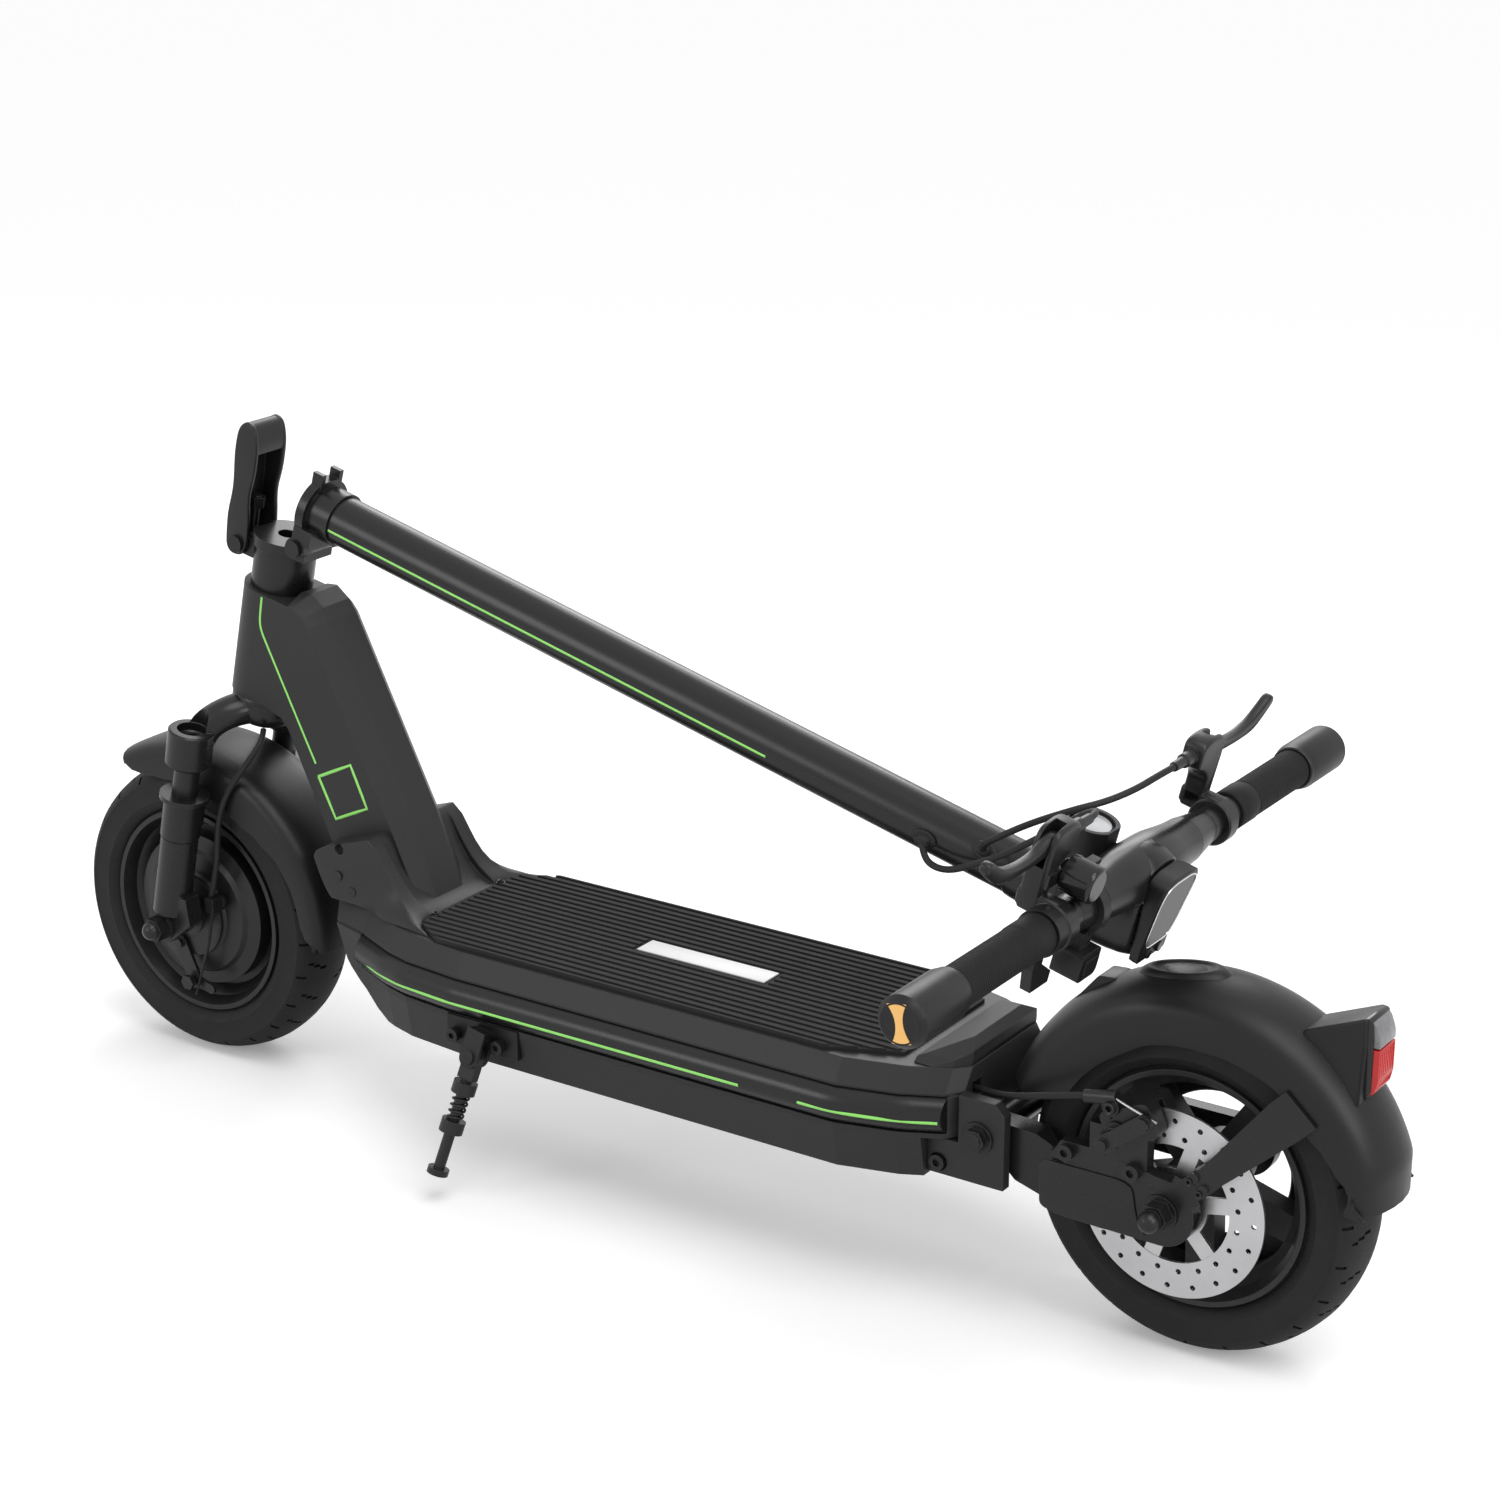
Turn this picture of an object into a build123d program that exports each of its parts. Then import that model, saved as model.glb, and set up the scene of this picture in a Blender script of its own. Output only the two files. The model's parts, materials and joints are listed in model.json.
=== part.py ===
from build123d import *
import os
from math import acos, cos, degrees, pi, radians, sin, tan

# Folding electric kick scooter, stored folded: the stem lies back over the deck.
# +X points forward, +Y to the rider's left, +Z up. The origin is on the ground under the
# middle of the overall length. Millimetres.

# ---- overall layout ----
tyre_radius = 127.5
wheelbase = 925.0
rear_overhang = 145.5            # from the rear axle to the back of the rear mudguard
ground_clearance = 104.0
deck_top = 186.0                 # top of the deck cover, under the mat
bar_half_length = 313.0

# ---- clearances ----
loose = 0.3                      # between curved faces of different bodies
running = 0.05                   # radial, shaft in hole
seat = 0.1                       # between parts of one body that sit together

# ---- wheels ----
tyre_half_width = 32.0
bead_radius = 84.0
rim_lip_radius = 88.0
rim_half_width = 28.0
rim_lip_width = 4.0
rim_wall = 4.0
axle_radius = 6.0
wheel_bearing_outer = 14.0
wheel_bearing_width = 10.0

# ---- front hub motor and drum brake ----
motor_radius = 66.0
motor_half_width = 22.0
hub_cover_radius = 52.0
hub_cover_step = 7.0
hub_boss_radius = 34.0
stator_radius = 56.0
drum_radius = 27.0

# ---- steering and fork ----
rake = 12.0                      # degrees, steering axis leaning back
fork_offset = 25.5               # wheel axle ahead of the steering axis
steering_height = 349.5          # from the axle up the steering axis to the clamp base top
head_top_drop = 44.0             # head tube ends, below the clamp base top
head_bottom_drop = 138.0
head_radius = 30.0
steerer_radius = 15.0
headset_radius = 21.0
headset_height = 9.0
clamp_radius = 25.0
clamp_flange_height = 9.0
leg_y = 60.0
leg_radius = 15.5
leg_flange_radius = 20.3
stanchion_radius = 10.5
lug_radius = 19.0
lug_top_drop = 168.0
lug_length = 32.0
leg_top_drop = 229.0

# ---- stem and fold ----
stem_radius = 20.0
stem_wall = 2.5
hinge_back = 28.5                # hinge pin behind the stem axis
hinge_up = 4.0                   # hinge pin above the clamp base top
hinge_pin_radius = 4.0
fold_angle = 92.7                # from folded to upright
hinge_piece_length = 28.0
stem_tube_end = 660.0            # along the stem, from the hinge pin
bar_along = 741.0                # handlebar axis, along the stem from the hinge pin
bar_ahead = 41.0                 # handlebar axis ahead of the stem axis
bar_radius = 12.7
bar_middle_radius = 17.0
grip_radius = 14.7
grip_inner = 169.0
grip_outer = 251.0
collar_inner = 139.0
cap_radius = 18.0
lever_clamp_y = 112.0
lever_clamp_width = 14.0

# ---- deck ----
deck_front = 215.0
deck_rear = -291.0
tub_top = 136.0
tub_bottom_half = 91.0
deck_half = 97.0
deck_top_half = 84.0
tub_wall = 3.0
mat_thickness = 2.4
rib_height = 1.6
rib_pitch = 8.0
rib_width = 4.0
mat_half_width = 80.0
rail_y = 90.0
rail_z = 154.0
rail_radius = 14.0

# ---- neck and front casting ----
neck_half = 30.0
casting_half = 54.0
casting_wall = 4.0

# ---- rear end ----
swing_pivot_ahead = 145.5        # pivot ahead of the rear axle
swing_pivot_z = 143.0
swing_pivot_radius = 6.0
arm_outer = 70.0
rotor_radius = 70.0
rotor_inner = 44.0
rotor_thickness = 2.2
rotor_y = 53.0
guard_radius = 153.0
guard_skirt_radius = 121.0
guard_half = 40.0
guard_thickness = 2.6
front_guard_radius = 150.0
front_guard_skirt = 116.0
lever_length = 104.0

# ---- derived places ----
overall_length = tyre_radius + wheelbase + rear_overhang
front_axle = Vector(overall_length / 2 - tyre_radius, 0, tyre_radius)
rear_axle = Vector(-overall_length / 2 + rear_overhang, 0, tyre_radius)
steer_up = Vector(-sin(radians(rake)), 0, cos(radians(rake)))
steer_fore = Vector(cos(radians(rake)), 0, sin(radians(rake)))
steer_origin = front_axle - steer_fore * fork_offset + steer_up * steering_height
steer = Location(tuple(steer_origin), (0, -rake, 0))

hinge_point = steer_origin - steer_fore * hinge_back + steer_up * hinge_up
stem = Location(tuple(hinge_point), (0, -rake - fold_angle, 0))
bar_x = hinge_back + bar_ahead   # handlebar axis in the stem's own frame
swing_pivot = Vector(rear_axle.X + swing_pivot_ahead, 0, swing_pivot_z)

low = (Align.CENTER, Align.CENTER, Align.MIN)


# ---- helpers ----
def prism_xz(points, y_low, y_high):
    """Outline in X and Z, extruded between two Y planes."""
    face = make_face(Polyline([(x, y_high, z) for x, z in points], close=True))
    return extrude(face, amount=y_high - y_low, dir=(0, -1, 0))


def prism_xy(points, z_low, z_high):
    face = make_face(Polyline([(x, y, z_low) for x, y in points], close=True))
    return extrude(face, amount=z_high - z_low, dir=(0, 0, 1))


def rod(start, end, radius):
    start, end = Vector(start), Vector(end)
    along = end - start
    return Plane(origin=start, z_dir=along) * Cylinder(radius, along.length, align=low)


def pipe(start, end, outer, inner):
    start, end = Vector(start), Vector(end)
    along = (end - start).normalized()
    return rod(start, end, outer) - rod(start - along, end + along, inner)


def disc_y(x, z, radius, y_low, y_high):
    return rod((x, y_low, z), (x, y_high, z), radius)


def ring_y(x, z, outer, inner, y_low, y_high):
    return pipe((x, y_low, z), (x, y_high, z), outer, inner)


def both(shape):
    """The shape and its mirror image across the middle plane."""
    return [shape, mirror(shape, about=Plane.XZ)]


def spun(points, axle):
    """Closed outline of (radius, y) turned about a wheel axle."""
    face = make_face(Polyline(points, close=True))
    return Pos(axle.X, 0, axle.Z) * revolve(face, axis=Axis.Y)


def hull_bar(p1, p2, radius, y_low, y_high):
    """Flat link with round ends, between two (x, z) points."""
    along = Vector(p2[0] - p1[0], 0, p2[1] - p1[1])
    side = Vector(-along.Z, 0, along.X).normalized() * radius
    corners = [(p1[0] + side.X, p1[1] + side.Z), (p2[0] + side.X, p2[1] + side.Z),
               (p2[0] - side.X, p2[1] - side.Z), (p1[0] - side.X, p1[1] - side.Z)]
    link = prism_xz(corners, y_low, y_high)
    return link + disc_y(*p1, radius, y_low, y_high) + disc_y(*p2, radius, y_low, y_high)


nodes = {}


def keep(name, *shapes):
    """Register a node as one solid or a group of separate solids."""
    solids = [s for shape in shapes for s in (shape if isinstance(shape, list) else [shape])]
    nodes[name] = solids[0] if len(solids) == 1 else Compound(children=solids)


# ---- deck: tray, cover, mat, rails ----
def outline(half, rear=0.0):
    """Plan of the deck for a half width, narrowing towards both ends."""
    side = [(deck_rear + rear, half - 38), (deck_rear + 10, half - 27), (deck_rear + 40, half - 12),
            (deck_rear + 85, half), (deck_front - 76, half), (deck_front - 24, half - 5),
            (deck_front, half - 12), (deck_front + 41, half - 30), (deck_front + 86, half - 43)]
    return side + [(x, -y) for x, y in reversed(side)]


def nose(inset=0.0):
    """Side view of the deck, its front end curving up; inset makes it smaller all round."""
    front = [(10, 0), (25, 6), (47, 22), (62, 37), (84, deck_top - ground_clearance)]
    points = [(deck_front + x - inset, ground_clearance + z) for x, z in front]
    points[0] = (points[0][0], ground_clearance + inset)
    rear = deck_rear + inset
    return [(rear, ground_clearance + inset)] + points + [(rear, deck_top)]


def slab(half, z_low, z_high, top_half=None, **more):
    """The deck's plan between two heights, its sides sloping when top_half differs."""
    plans = [(half, z_low), (top_half or half, z_high)]
    faces = [make_face(Polyline([(x, y, z) for x, y in outline(h, **more)], close=True)) for h, z in plans]
    return loft(faces, ruled=True)


bracket_inner = 58.0
bracket_thick = 9.0
bracket_front = deck_rear + 24.0
bracket_rear = swing_pivot.X - 21.0
bracket_low, bracket_high = 107.0, 172.0
recess_rear, recess_front = deck_rear + 8.0, deck_front + 42.0
recess_low = rail_z - rail_radius - seat
recess_high = rail_z + rail_radius + seat
recess_depth = deck_half - (rail_y - rail_radius - seat)
recess_relief = 8.0              # room behind the rail where the deck narrows
lip_half = deck_half - 2.0
lip_top = recess_high + 2.0
stand_x = deck_front - 104.0     # kickstand, along the deck
stand_plate_x = 34.0
stand_plate_low, stand_plate_high = 116.0, recess_low - 0.5
stand_plate_y = deck_half - 3.5
cable_exit_y, cable_exit_z = 40.0, 167.0


def bracket_room():
    """Space that the rear bracket plates take out of the deck's back corners."""
    length = bracket_front + seat - (deck_rear - 10)
    room = Box(length, 80, bracket_high + seat - 90, align=(Align.MIN, Align.MIN, Align.MIN))
    return both(Pos(deck_rear - 10, bracket_inner - seat, 90) * room)


def stand_room():
    high = stand_plate_high - stand_plate_low + 2 * seat
    room = Box(2 * stand_plate_x + 2 * seat, 20, high, align=(Align.CENTER, Align.MIN, Align.MIN))
    return Pos(stand_x, stand_plate_y - seat, stand_plate_low - seat) * room


def deck_tub():
    tray = slab(tub_bottom_half, ground_clearance, tub_top, top_half=deck_half)
    tray &= prism_xz(nose(), -deck_half, deck_half)
    hollow = slab(deck_half - 12, ground_clearance + tub_wall, tub_top + 1, rear=12)
    hollow &= Pos(-20, 0, 0) * prism_xz(nose(tub_wall), -deck_half, deck_half)
    hollow -= Pos(deck_rear, 0, 0) * Box(60, 300, 400)
    return tray - hollow - bracket_room() - stand_room()


def deck_cover():
    z = tub_top + seat
    foot = slab(deck_half, z, recess_low)
    core = slab(deck_half - recess_depth - recess_relief, recess_low, recess_high)
    ends = slab(deck_half, recess_low, recess_high)
    gap = recess_front - recess_rear
    ends -= Pos(recess_rear + gap / 2, 0, rail_z) * Box(gap, 300, 60)
    lip = slab(lip_half, recess_high, lip_top)
    top = slab(lip_half, lip_top, deck_top, top_half=deck_top_half)
    shell = (foot + core + ends + lip + top) & prism_xz(nose(), -deck_half, deck_half)
    hollow = slab(deck_half - recess_depth - recess_relief - 4, z - 1, deck_top - 4, rear=14)
    hollow &= Pos(-24, 0, 0) * prism_xz(nose(4), -deck_half, deck_half)
    hollow -= Pos(deck_rear, 0, 0) * Box(60, 300, 400)
    cable_slot = Pos(deck_rear, cable_exit_y, cable_exit_z) * Box(60, 13, 13)
    return shell - hollow - stand_room() - cable_slot


mat_front, mat_rear = deck_front - 11.0, deck_rear + 50.0
plate_x, plate_length, plate_width = -31.0, 118.0, 22.0


def deck_mat():
    side = [(mat_rear, 57), (mat_rear + 55, mat_half_width), (mat_front - 35, mat_half_width),
            (mat_front - 5, 61), (mat_front, 47)]
    plan = side + [(x, -y) for x, y in reversed(side)]
    z = deck_top + seat
    mat = prism_xy(plan, z, z + mat_thickness)
    ribs = prism_xy(plan, z + mat_thickness, z + mat_thickness + rib_height)
    count = int(2 * mat_half_width / rib_pitch) + 1
    for i in range(count + 1):
        y = (i - count / 2) * rib_pitch
        ribs -= Pos(0, y, z + mat_thickness) * Box(900, rib_pitch - rib_width, 10)
    rib_end = 4.0
    ribs -= Pos(mat_front, 0, z) * Box(2 * rib_end, 400, 20)
    ribs -= Pos(mat_rear, 0, z) * Box(2 * rib_end, 400, 20)
    ribs -= Pos(plate_x, 0, z + mat_thickness) * Box(plate_length + 6, plate_width + 6, 10)
    return mat + ribs


def side_rail():
    half = outline(rail_y)
    path_points = [(x, y, rail_z) for x, y in half[1:8]]
    path = FilletPolyline(*path_points, radius=70)
    rail = sweep(Plane(path @ 0, z_dir=path % 0) * Circle(rail_radius), path)
    length = recess_front - recess_rear - 2 * seat
    return rail & Pos(recess_rear + seat + length / 2, 0, rail_z) * Box(length, 300, 60)


def rear_block():
    side = prism_xz([(deck_rear + 38, deck_top + seat), (deck_rear + 38, deck_top + 4),
                     (deck_rear + 7, deck_top + 17), (deck_rear - 2, deck_top + 10),
                     (deck_rear + 1, deck_top + seat)], -70, 70)
    x = deck_rear - 20
    back = [(64, 180), (64, 187), (57, 192), (32, 204), (-32, 204), (-57, 192), (-64, 187), (-64, 180)]
    face = make_face(Polyline([(x, y, z) for y, z in back], close=True))
    plan = prism_xy(outline(deck_top_half), 170, 220)
    return side & extrude(face, amount=90, dir=(1, 0, 0)) & plan


def rear_bracket():
    side = [(bracket_front, bracket_low), (bracket_front, tub_top - 1), (deck_rear - 1, tub_top - 1),
            (deck_rear - 1, bracket_high), (bracket_rear + 8, bracket_high),
            (bracket_rear, bracket_high - 8),
            (bracket_rear, bracket_low)]
    plate = prism_xz(side, bracket_inner, bracket_inner + bracket_thick)
    plate -= disc_y(swing_pivot.X, swing_pivot.Z, swing_pivot_radius + seat, 0, 100)
    plate -= disc_y(swing_pivot.X + 32, 116, 3.1, 0, 100)
    return plate - disc_y(swing_pivot.X + 32, 116, 7, bracket_inner + 5, 100)


def battery_and_controller():
    floor = ground_clearance + tub_wall + seat
    battery = Pos(-35, 0, floor) * Box(330, 124, 62, align=low)
    controller = Pos(160, 0, floor) * Box(44, 96, 40, align=low)
    return [fillet(battery.edges().filter_by(Axis.Z), 8), fillet(controller.edges().filter_by(Axis.Z), 4)]


# ---- neck and front cover ----
def neck_sides(back):
    """Side view of the neck; back pushes its rear edge out to the ridge."""
    ox, oz = steer_origin.X, steer_origin.Z
    top = steer_origin - steer_up * head_top_drop
    bottom = steer_origin - steer_up * head_bottom_drop
    foot = deck_top + seat
    rear = [(-27 - back * 0.7, -50 + back * 0.8), (-38 - back * 0.8, -57 + back * 0.6),
            (-44 - back * 0.85, -64 + back * 0.4), (-120 - back * 0.85, -216 + back * 0.4)]
    points = [(top.X, top.Z)] + [(ox + x, oz + z) for x, z in rear]
    points += [(ox - 148 - back * 0.7, foot), (deck_front + 82, foot), (ox - 56, oz - 235),
               (ox - 17, oz - 153),
               (ox - 10, oz - 145), (ox + 5, oz - 139.5), (bottom.X, bottom.Z)]
    return points


def neck_beam():
    wide, ridge = neck_sides(0), neck_sides(12)
    middle = prism_xz(ridge, -16, 16)
    left = loft([make_face(Polyline([(x, 16, z) for x, z in ridge], close=True)),
                 make_face(Polyline([(x, neck_half, z) for x, z in wide], close=True))], ruled=True)
    inner = steer * (Pos(0, 0, -head_bottom_drop) * Cylinder(headset_radius, 200, align=low))
    tube = steer * (Pos(0, 0, -head_bottom_drop) * Cylinder(head_radius, head_bottom_drop - head_top_drop,
                                                            align=low))
    ends = steer * (Pos(0, 0, -head_top_drop) * Box(66, 140, 60, align=low))
    beam = middle + both(left) - ends + tube
    ox, oz = steer_origin.X, steer_origin.Z
    hollow = prism_xz([(ox - 127, oz - 226), (ox - 54, oz - 84), (ox - 30, oz - 90), (ox - 24, oz - 142),
                       (ox - 62, oz - 226)], -neck_half + casting_wall, neck_half - casting_wall)
    return beam - hollow - inner


def casting():
    """Front cover over the foot of the neck: two side lobes, a flared base and a rear apron."""
    foot = deck_top + seat
    rear_x = deck_front + 40         # where the lobes' rear edge starts to sweep down
    side = [(deck_front + 82, foot), (deck_front + 101, 217), (deck_front + 97, 224),
            (deck_front + 89, 228),
            (deck_front + 55, 244), (rear_x + 2, 244), (rear_x - 6, 236), (rear_x - 23, 212),
            (rear_x - 31, 203), (rear_x - 44, 193), (mat_front + 1, foot + 2.5), (mat_front + 1, foot)]
    lobes = prism_xz(side, -casting_half, casting_half)
    narrow = [(deck_front - 38, 76), (deck_front + 15, 69), (deck_front + 41, 56),
              (deck_front + 84, casting_half - 1)]
    wide = narrow + [(x, -y) for x, y in reversed(narrow)]
    flat = [(x, y * 0.84) for x, y in wide]
    faces = [make_face(Polyline([(x, y, z) for x, y in plan], close=True))
             for plan, z in ((wide, foot), (flat, foot + 14))]
    flare = loft(faces, ruled=True)
    room = prism_xy([(mat_rear, 90), (mat_front - 34, mat_half_width + 0.5), (mat_front - 4, 61.5),
                     (mat_front + 0.6, 47.5),
                     (mat_front + 0.6, -47.5), (mat_front - 4, -61.5),
                     (mat_front - 34, -mat_half_width - 0.5),
                     (mat_rear, -90)], 150, 260)
    cover = lobes + (flare & prism_xz([(0, 100)]
                                      + [(deck_front + 83, foot - 40), (deck_front + 93, foot + 20),
                                         (0, 260)],
                                      -100, 100)) - room
    neck_room = prism_xz([(x, z) for x, z in neck_sides(12)], -neck_half - seat, neck_half + seat)
    front_gap = prism_xz([(deck_front + 60, foot + casting_wall), (deck_front + 120, foot + casting_wall),
                          (deck_front + 120, 260), (deck_front + 60, 260)], -neck_half - 6, neck_half + 6)
    return cover - neck_room - front_gap


def headset_rings():
    rings = []
    for drop in (head_top_drop + headset_height, head_bottom_drop):
        ring = Pos(0, 0, -drop) * Cylinder(headset_radius - seat, headset_height, align=low)
        ring -= Pos(0, 0, -drop) * Cylinder(steerer_radius + running, 3 * headset_height)
        rings.append(steer * ring)
    return rings


# ---- kickstand ----
stand_tilt, stand_lean = 17.8, 9.6    # degrees outward and forward
stand_rivet = Vector(stand_x, rail_y + 19, 115.0)
stand_leaf_gap = 9.4
stand_leg_radius = 4.5
stand_collar_radius = 9.5
stand_length = 97.0              # from the rivet to the foot
stand = Location(tuple(stand_rivet), (stand_tilt, -stand_lean, 0))


def kickstand_housing():
    plate = Pos(stand_x, stand_plate_y, stand_plate_low) * Box(
        2 * stand_plate_x, 5, stand_plate_high - stand_plate_low,
        align=(Align.CENTER, Align.MIN, Align.MIN))
    wide, high, leaf_y = 17.0, 22.0, stand_leaf_gap / 2 + 3
    leaf = Pos(0, 0, 0) * (Rot(90, 0, 0) * Cylinder(wide / 2, 3)) + Pos(0, 0, high / 2) * Box(wide, 3, high)
    leaves = Pos(0, leaf_y - 1.5, 0) * leaf + Pos(0, 1.5 - leaf_y, 0) * leaf
    roof = Pos(0, 0, high - 3) * Box(wide, 2 * leaf_y, 6)
    back = Pos(0, -leaf_y - 4, high - 4) * Box(wide, 14, 8)
    fork = stand * (leaves + roof + back)
    keep_out = Pos(stand_x, stand_plate_y, 130) * Box(200, 60, 200,
                                                      align=(Align.CENTER, Align.MAX, Align.CENTER))
    pin = stand * (Rot(90, 0, 0) * (Cylinder(3, 2 * leaf_y) + Pos(0, 0, -leaf_y - 1) * Cylinder(5.5, 2)
                                    + Pos(0, 0, leaf_y + 1) * Cylinder(5.5, 2)))
    return (plate + fork - keep_out) + pin


def kickstand_leg():
    tongue_half = stand_leaf_gap / 2 - loose
    tongue = Rot(90, 0, 0) * Cylinder(8, 2 * tongue_half)
    tongue += Pos(0, 0, -9) * Box(14, 2 * tongue_half, 18)
    tongue -= Rot(90, 0, 0) * Cylinder(3 + running, 40)
    collar = Pos(0, 0, -25) * Cylinder(stand_collar_radius, 9.5)
    stop = Pos(0, 0, -57) * Cylinder(stand_collar_radius, 10)
    shaft = Pos(0, 0, -stand_length) * Cylinder(stand_leg_radius, stand_length - 16, align=low)
    foot = Pos(0, 0, -stand_length) * Cylinder(8.5, 5, align=low)
    return stand * (tongue + collar + stop + shaft + foot)


def kickstand_spring():
    wire = 1.0
    coil = Helix(pitch=4.95, height=19.8, radius=stand_leg_radius + wire + 0.4)
    spring = sweep(Plane(coil @ 0, z_dir=coil % 0) * Circle(wire), coil, is_frenet=True)
    return stand * (Pos(0, 0, -50.8) * spring)


# ---- wheels ----
def tyre(axle):
    bead_y = rim_half_width - rim_lip_width - seat
    bead = bead_radius + seat
    lip = rim_lip_radius + 1
    shoulder = (tyre_radius - 6.5, tyre_half_width - 10)
    wall_r = (lip + shoulder[0]) / 2
    skin = 6.0
    outer = [Line((bead, -bead_y), (lip, -bead_y)),
             ThreePointArc((lip, -bead_y), (wall_r, -tyre_half_width), (shoulder[0], -shoulder[1])),
             ThreePointArc((shoulder[0], -shoulder[1]), (tyre_radius, 0), shoulder),
             ThreePointArc(shoulder, (wall_r, tyre_half_width), (lip, bead_y)),
             Line((lip, bead_y), (bead, bead_y)), Line((bead, bead_y), (bead, bead_y - skin)),
             ThreePointArc((bead, bead_y - skin), (wall_r, tyre_half_width - skin),
                           (shoulder[0] - skin, shoulder[1] - 3)),
             ThreePointArc((shoulder[0] - skin, shoulder[1] - 3), (tyre_radius - skin - 2, 0),
                           (shoulder[0] - skin, 3 - shoulder[1])),
             ThreePointArc((shoulder[0] - skin, 3 - shoulder[1]), (wall_r, skin - tyre_half_width),
                           (bead, skin - bead_y)),
             Line((bead, skin - bead_y), (bead, -bead_y))]
    return Pos(axle.X, 0, axle.Z) * revolve(make_face(Wire(outer)), axis=Axis.Y)


def rim_barrel(axle):
    lip_y = rim_half_width - rim_lip_width
    half = [(rim_lip_radius, rim_half_width), (rim_lip_radius, lip_y), (bead_radius, lip_y),
            (bead_radius, lip_y - 7), (bead_radius - 8, 10)]
    inner = [(bead_radius - 8 - rim_wall, 10), (bead_radius - rim_wall - 1, lip_y - 7),
             (rim_lip_radius - rim_wall, rim_half_width)]
    points = half + [(r, -y) for r, y in reversed(half)] + [(r, -y) for r, y in reversed(inner)] + inner
    return spun(points, axle)


def hub_motor():
    inside = motor_half_width - 5
    cover = [(motor_radius, motor_half_width), (hub_cover_radius + 3, motor_half_width + 3),
             (hub_cover_radius, hub_cover_step + motor_half_width),
             (hub_boss_radius + 3, motor_half_width + 9),
             (hub_boss_radius, motor_half_width + 12)]
    bore = axle_radius + running
    profile = [(bore, inside), (motor_radius - 6, inside), (motor_radius - 6, 0), (motor_radius, 0)] + cover
    profile.append((bore, motor_half_width + 12))
    shell = spun(profile, front_axle) + spun([(r, -y) for r, y in profile], front_axle)
    web_outer = bead_radius - 8 - rim_wall / 2
    web = ring_y(front_axle.X, front_axle.Z, web_outer, motor_radius - 2, -7, 7)
    drum = disc_y(front_axle.X, front_axle.Z, drum_radius, inside + 3, 100)
    return rim_barrel(front_axle) + web + shell - drum


def motor_stator():
    half = motor_half_width - 8
    body = spun([(axle_radius + seat, -half), (stator_radius, -half), (stator_radius, half),
                 (axle_radius + seat, half)],
                front_axle)
    slots = PolarLocations(stator_radius, 27)
    slot = Box(7, 2.4, 3 * half)
    return body - [Pos(front_axle.X, 0, front_axle.Z) * (Rot(90, 0, 0) * (place * slot)) for place in slots]


plate_y = motor_half_width + 12.4
backplate_radius = 36.0
cam = (front_axle.X + 9, front_axle.Z - 27)
holder = (front_axle.X - 35, front_axle.Z + 19)


def brake_backplate():
    x, z = front_axle.X, front_axle.Z
    plate = disc_y(x, z, backplate_radius, plate_y, plate_y + 3)
    plate += disc_y(x, z, 17, plate_y, plate_y + 5)
    arm = hull_bar((x - 12, z + 8), holder, 6, plate_y, plate_y + 3)
    block = Pos(holder[0], plate_y + 8, holder[1]) * Box(9, 14, 12)
    hub = ring_y(x, z, 12, axle_radius + seat, motor_half_width, plate_y)
    plate = (plate + arm + block + hub) - disc_y(x, z, axle_radius + seat, 0, 100)
    plate -= disc_y(*cam, 4 + running, 0, 100)
    shoes = ring_y(x, z, drum_radius - 1.5, 17, motor_half_width + 1, plate_y - seat)
    shoes -= Pos(x, plate_y, z) * Box(8, 60, 80)
    shoes -= disc_y(*cam, 8, 0, 100)
    return [plate] + [part for part in shoes.solids()]


drum_clamp = (front_axle.X - 5, front_axle.Z - 57)
drum_arm_y = plate_y + 3 + loose


def drum_brake_arm():
    tip = (front_axle.X - 23, front_axle.Z - 62)
    arm = hull_bar(cam, drum_clamp, 7, drum_arm_y, drum_arm_y + 3)
    arm += hull_bar(drum_clamp, tip, 4, drum_arm_y, drum_arm_y + 3)
    shaft = disc_y(*cam, 4, plate_y, drum_arm_y + 6)
    screw = disc_y(*drum_clamp, 7, drum_arm_y + 3, drum_arm_y + 4.8) + disc_y(*drum_clamp, 3, drum_arm_y,
                                                                              drum_arm_y + 12)
    nut = Pos(drum_clamp[0], drum_arm_y + 8.2,
              drum_clamp[1]) * (Rot(-90, 0, 0) * extrude(RegularPolygon(6.5, 6), amount=4))
    return arm + shaft + screw + nut


# ---- fork ----
leg_x = fork_offset
axle_drop = steering_height      # the axle, below the clamp base top


def at_steer(shape):
    return steer * shape


def fork_crown():
    top = -head_bottom_drop - 0.6
    column = Pos(0, 0, top - 6) * Cylinder(steerer_radius, -top - head_top_drop + 22, align=low)
    boss = Pos(0, 0, top) * Cylinder(head_radius - 1, 26, align=(Align.CENTER, Align.CENTER, Align.MAX))
    lug_top, lug_bottom = -lug_top_drop, -lug_top_drop - lug_length
    arch = [(0, top), (24, top - 2), (38, top - 9), (leg_y - 8, lug_top - 3), (leg_y - 8, lug_bottom + 4),
            (leg_y - 18, lug_bottom + 6), (30, top - 36), (18, top - 27), (0, top - 26)]
    arch = arch + [(-y, z) for y, z in reversed(arch[1:-1])]
    face = make_face(Polyline([(leg_x - 22, y, z) for y, z in arch], close=True))
    bridge = extrude(face, amount=34, dir=(1, 0, 0))
    crown = column + boss + fillet(bridge.edges().filter_by(GeomType.LINE).filter_by(Axis.X), 4)
    for y in (leg_y, -leg_y):
        crown += Pos(leg_x, y, lug_bottom) * Cylinder(lug_radius, lug_length, align=low)
        crown -= Pos(leg_x, y, lug_bottom - 1) * Cylinder(stanchion_radius + seat, lug_length - 5,
                                                          align=low)
        crown -= Pos(leg_x, y, lug_top - 8) * Cylinder(stanchion_radius + 1.5, 20, align=low)
    bore = Pos(0, 0, top - 60) * Cylinder(8, 400, align=low)
    return at_steer(crown - bore)


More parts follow.
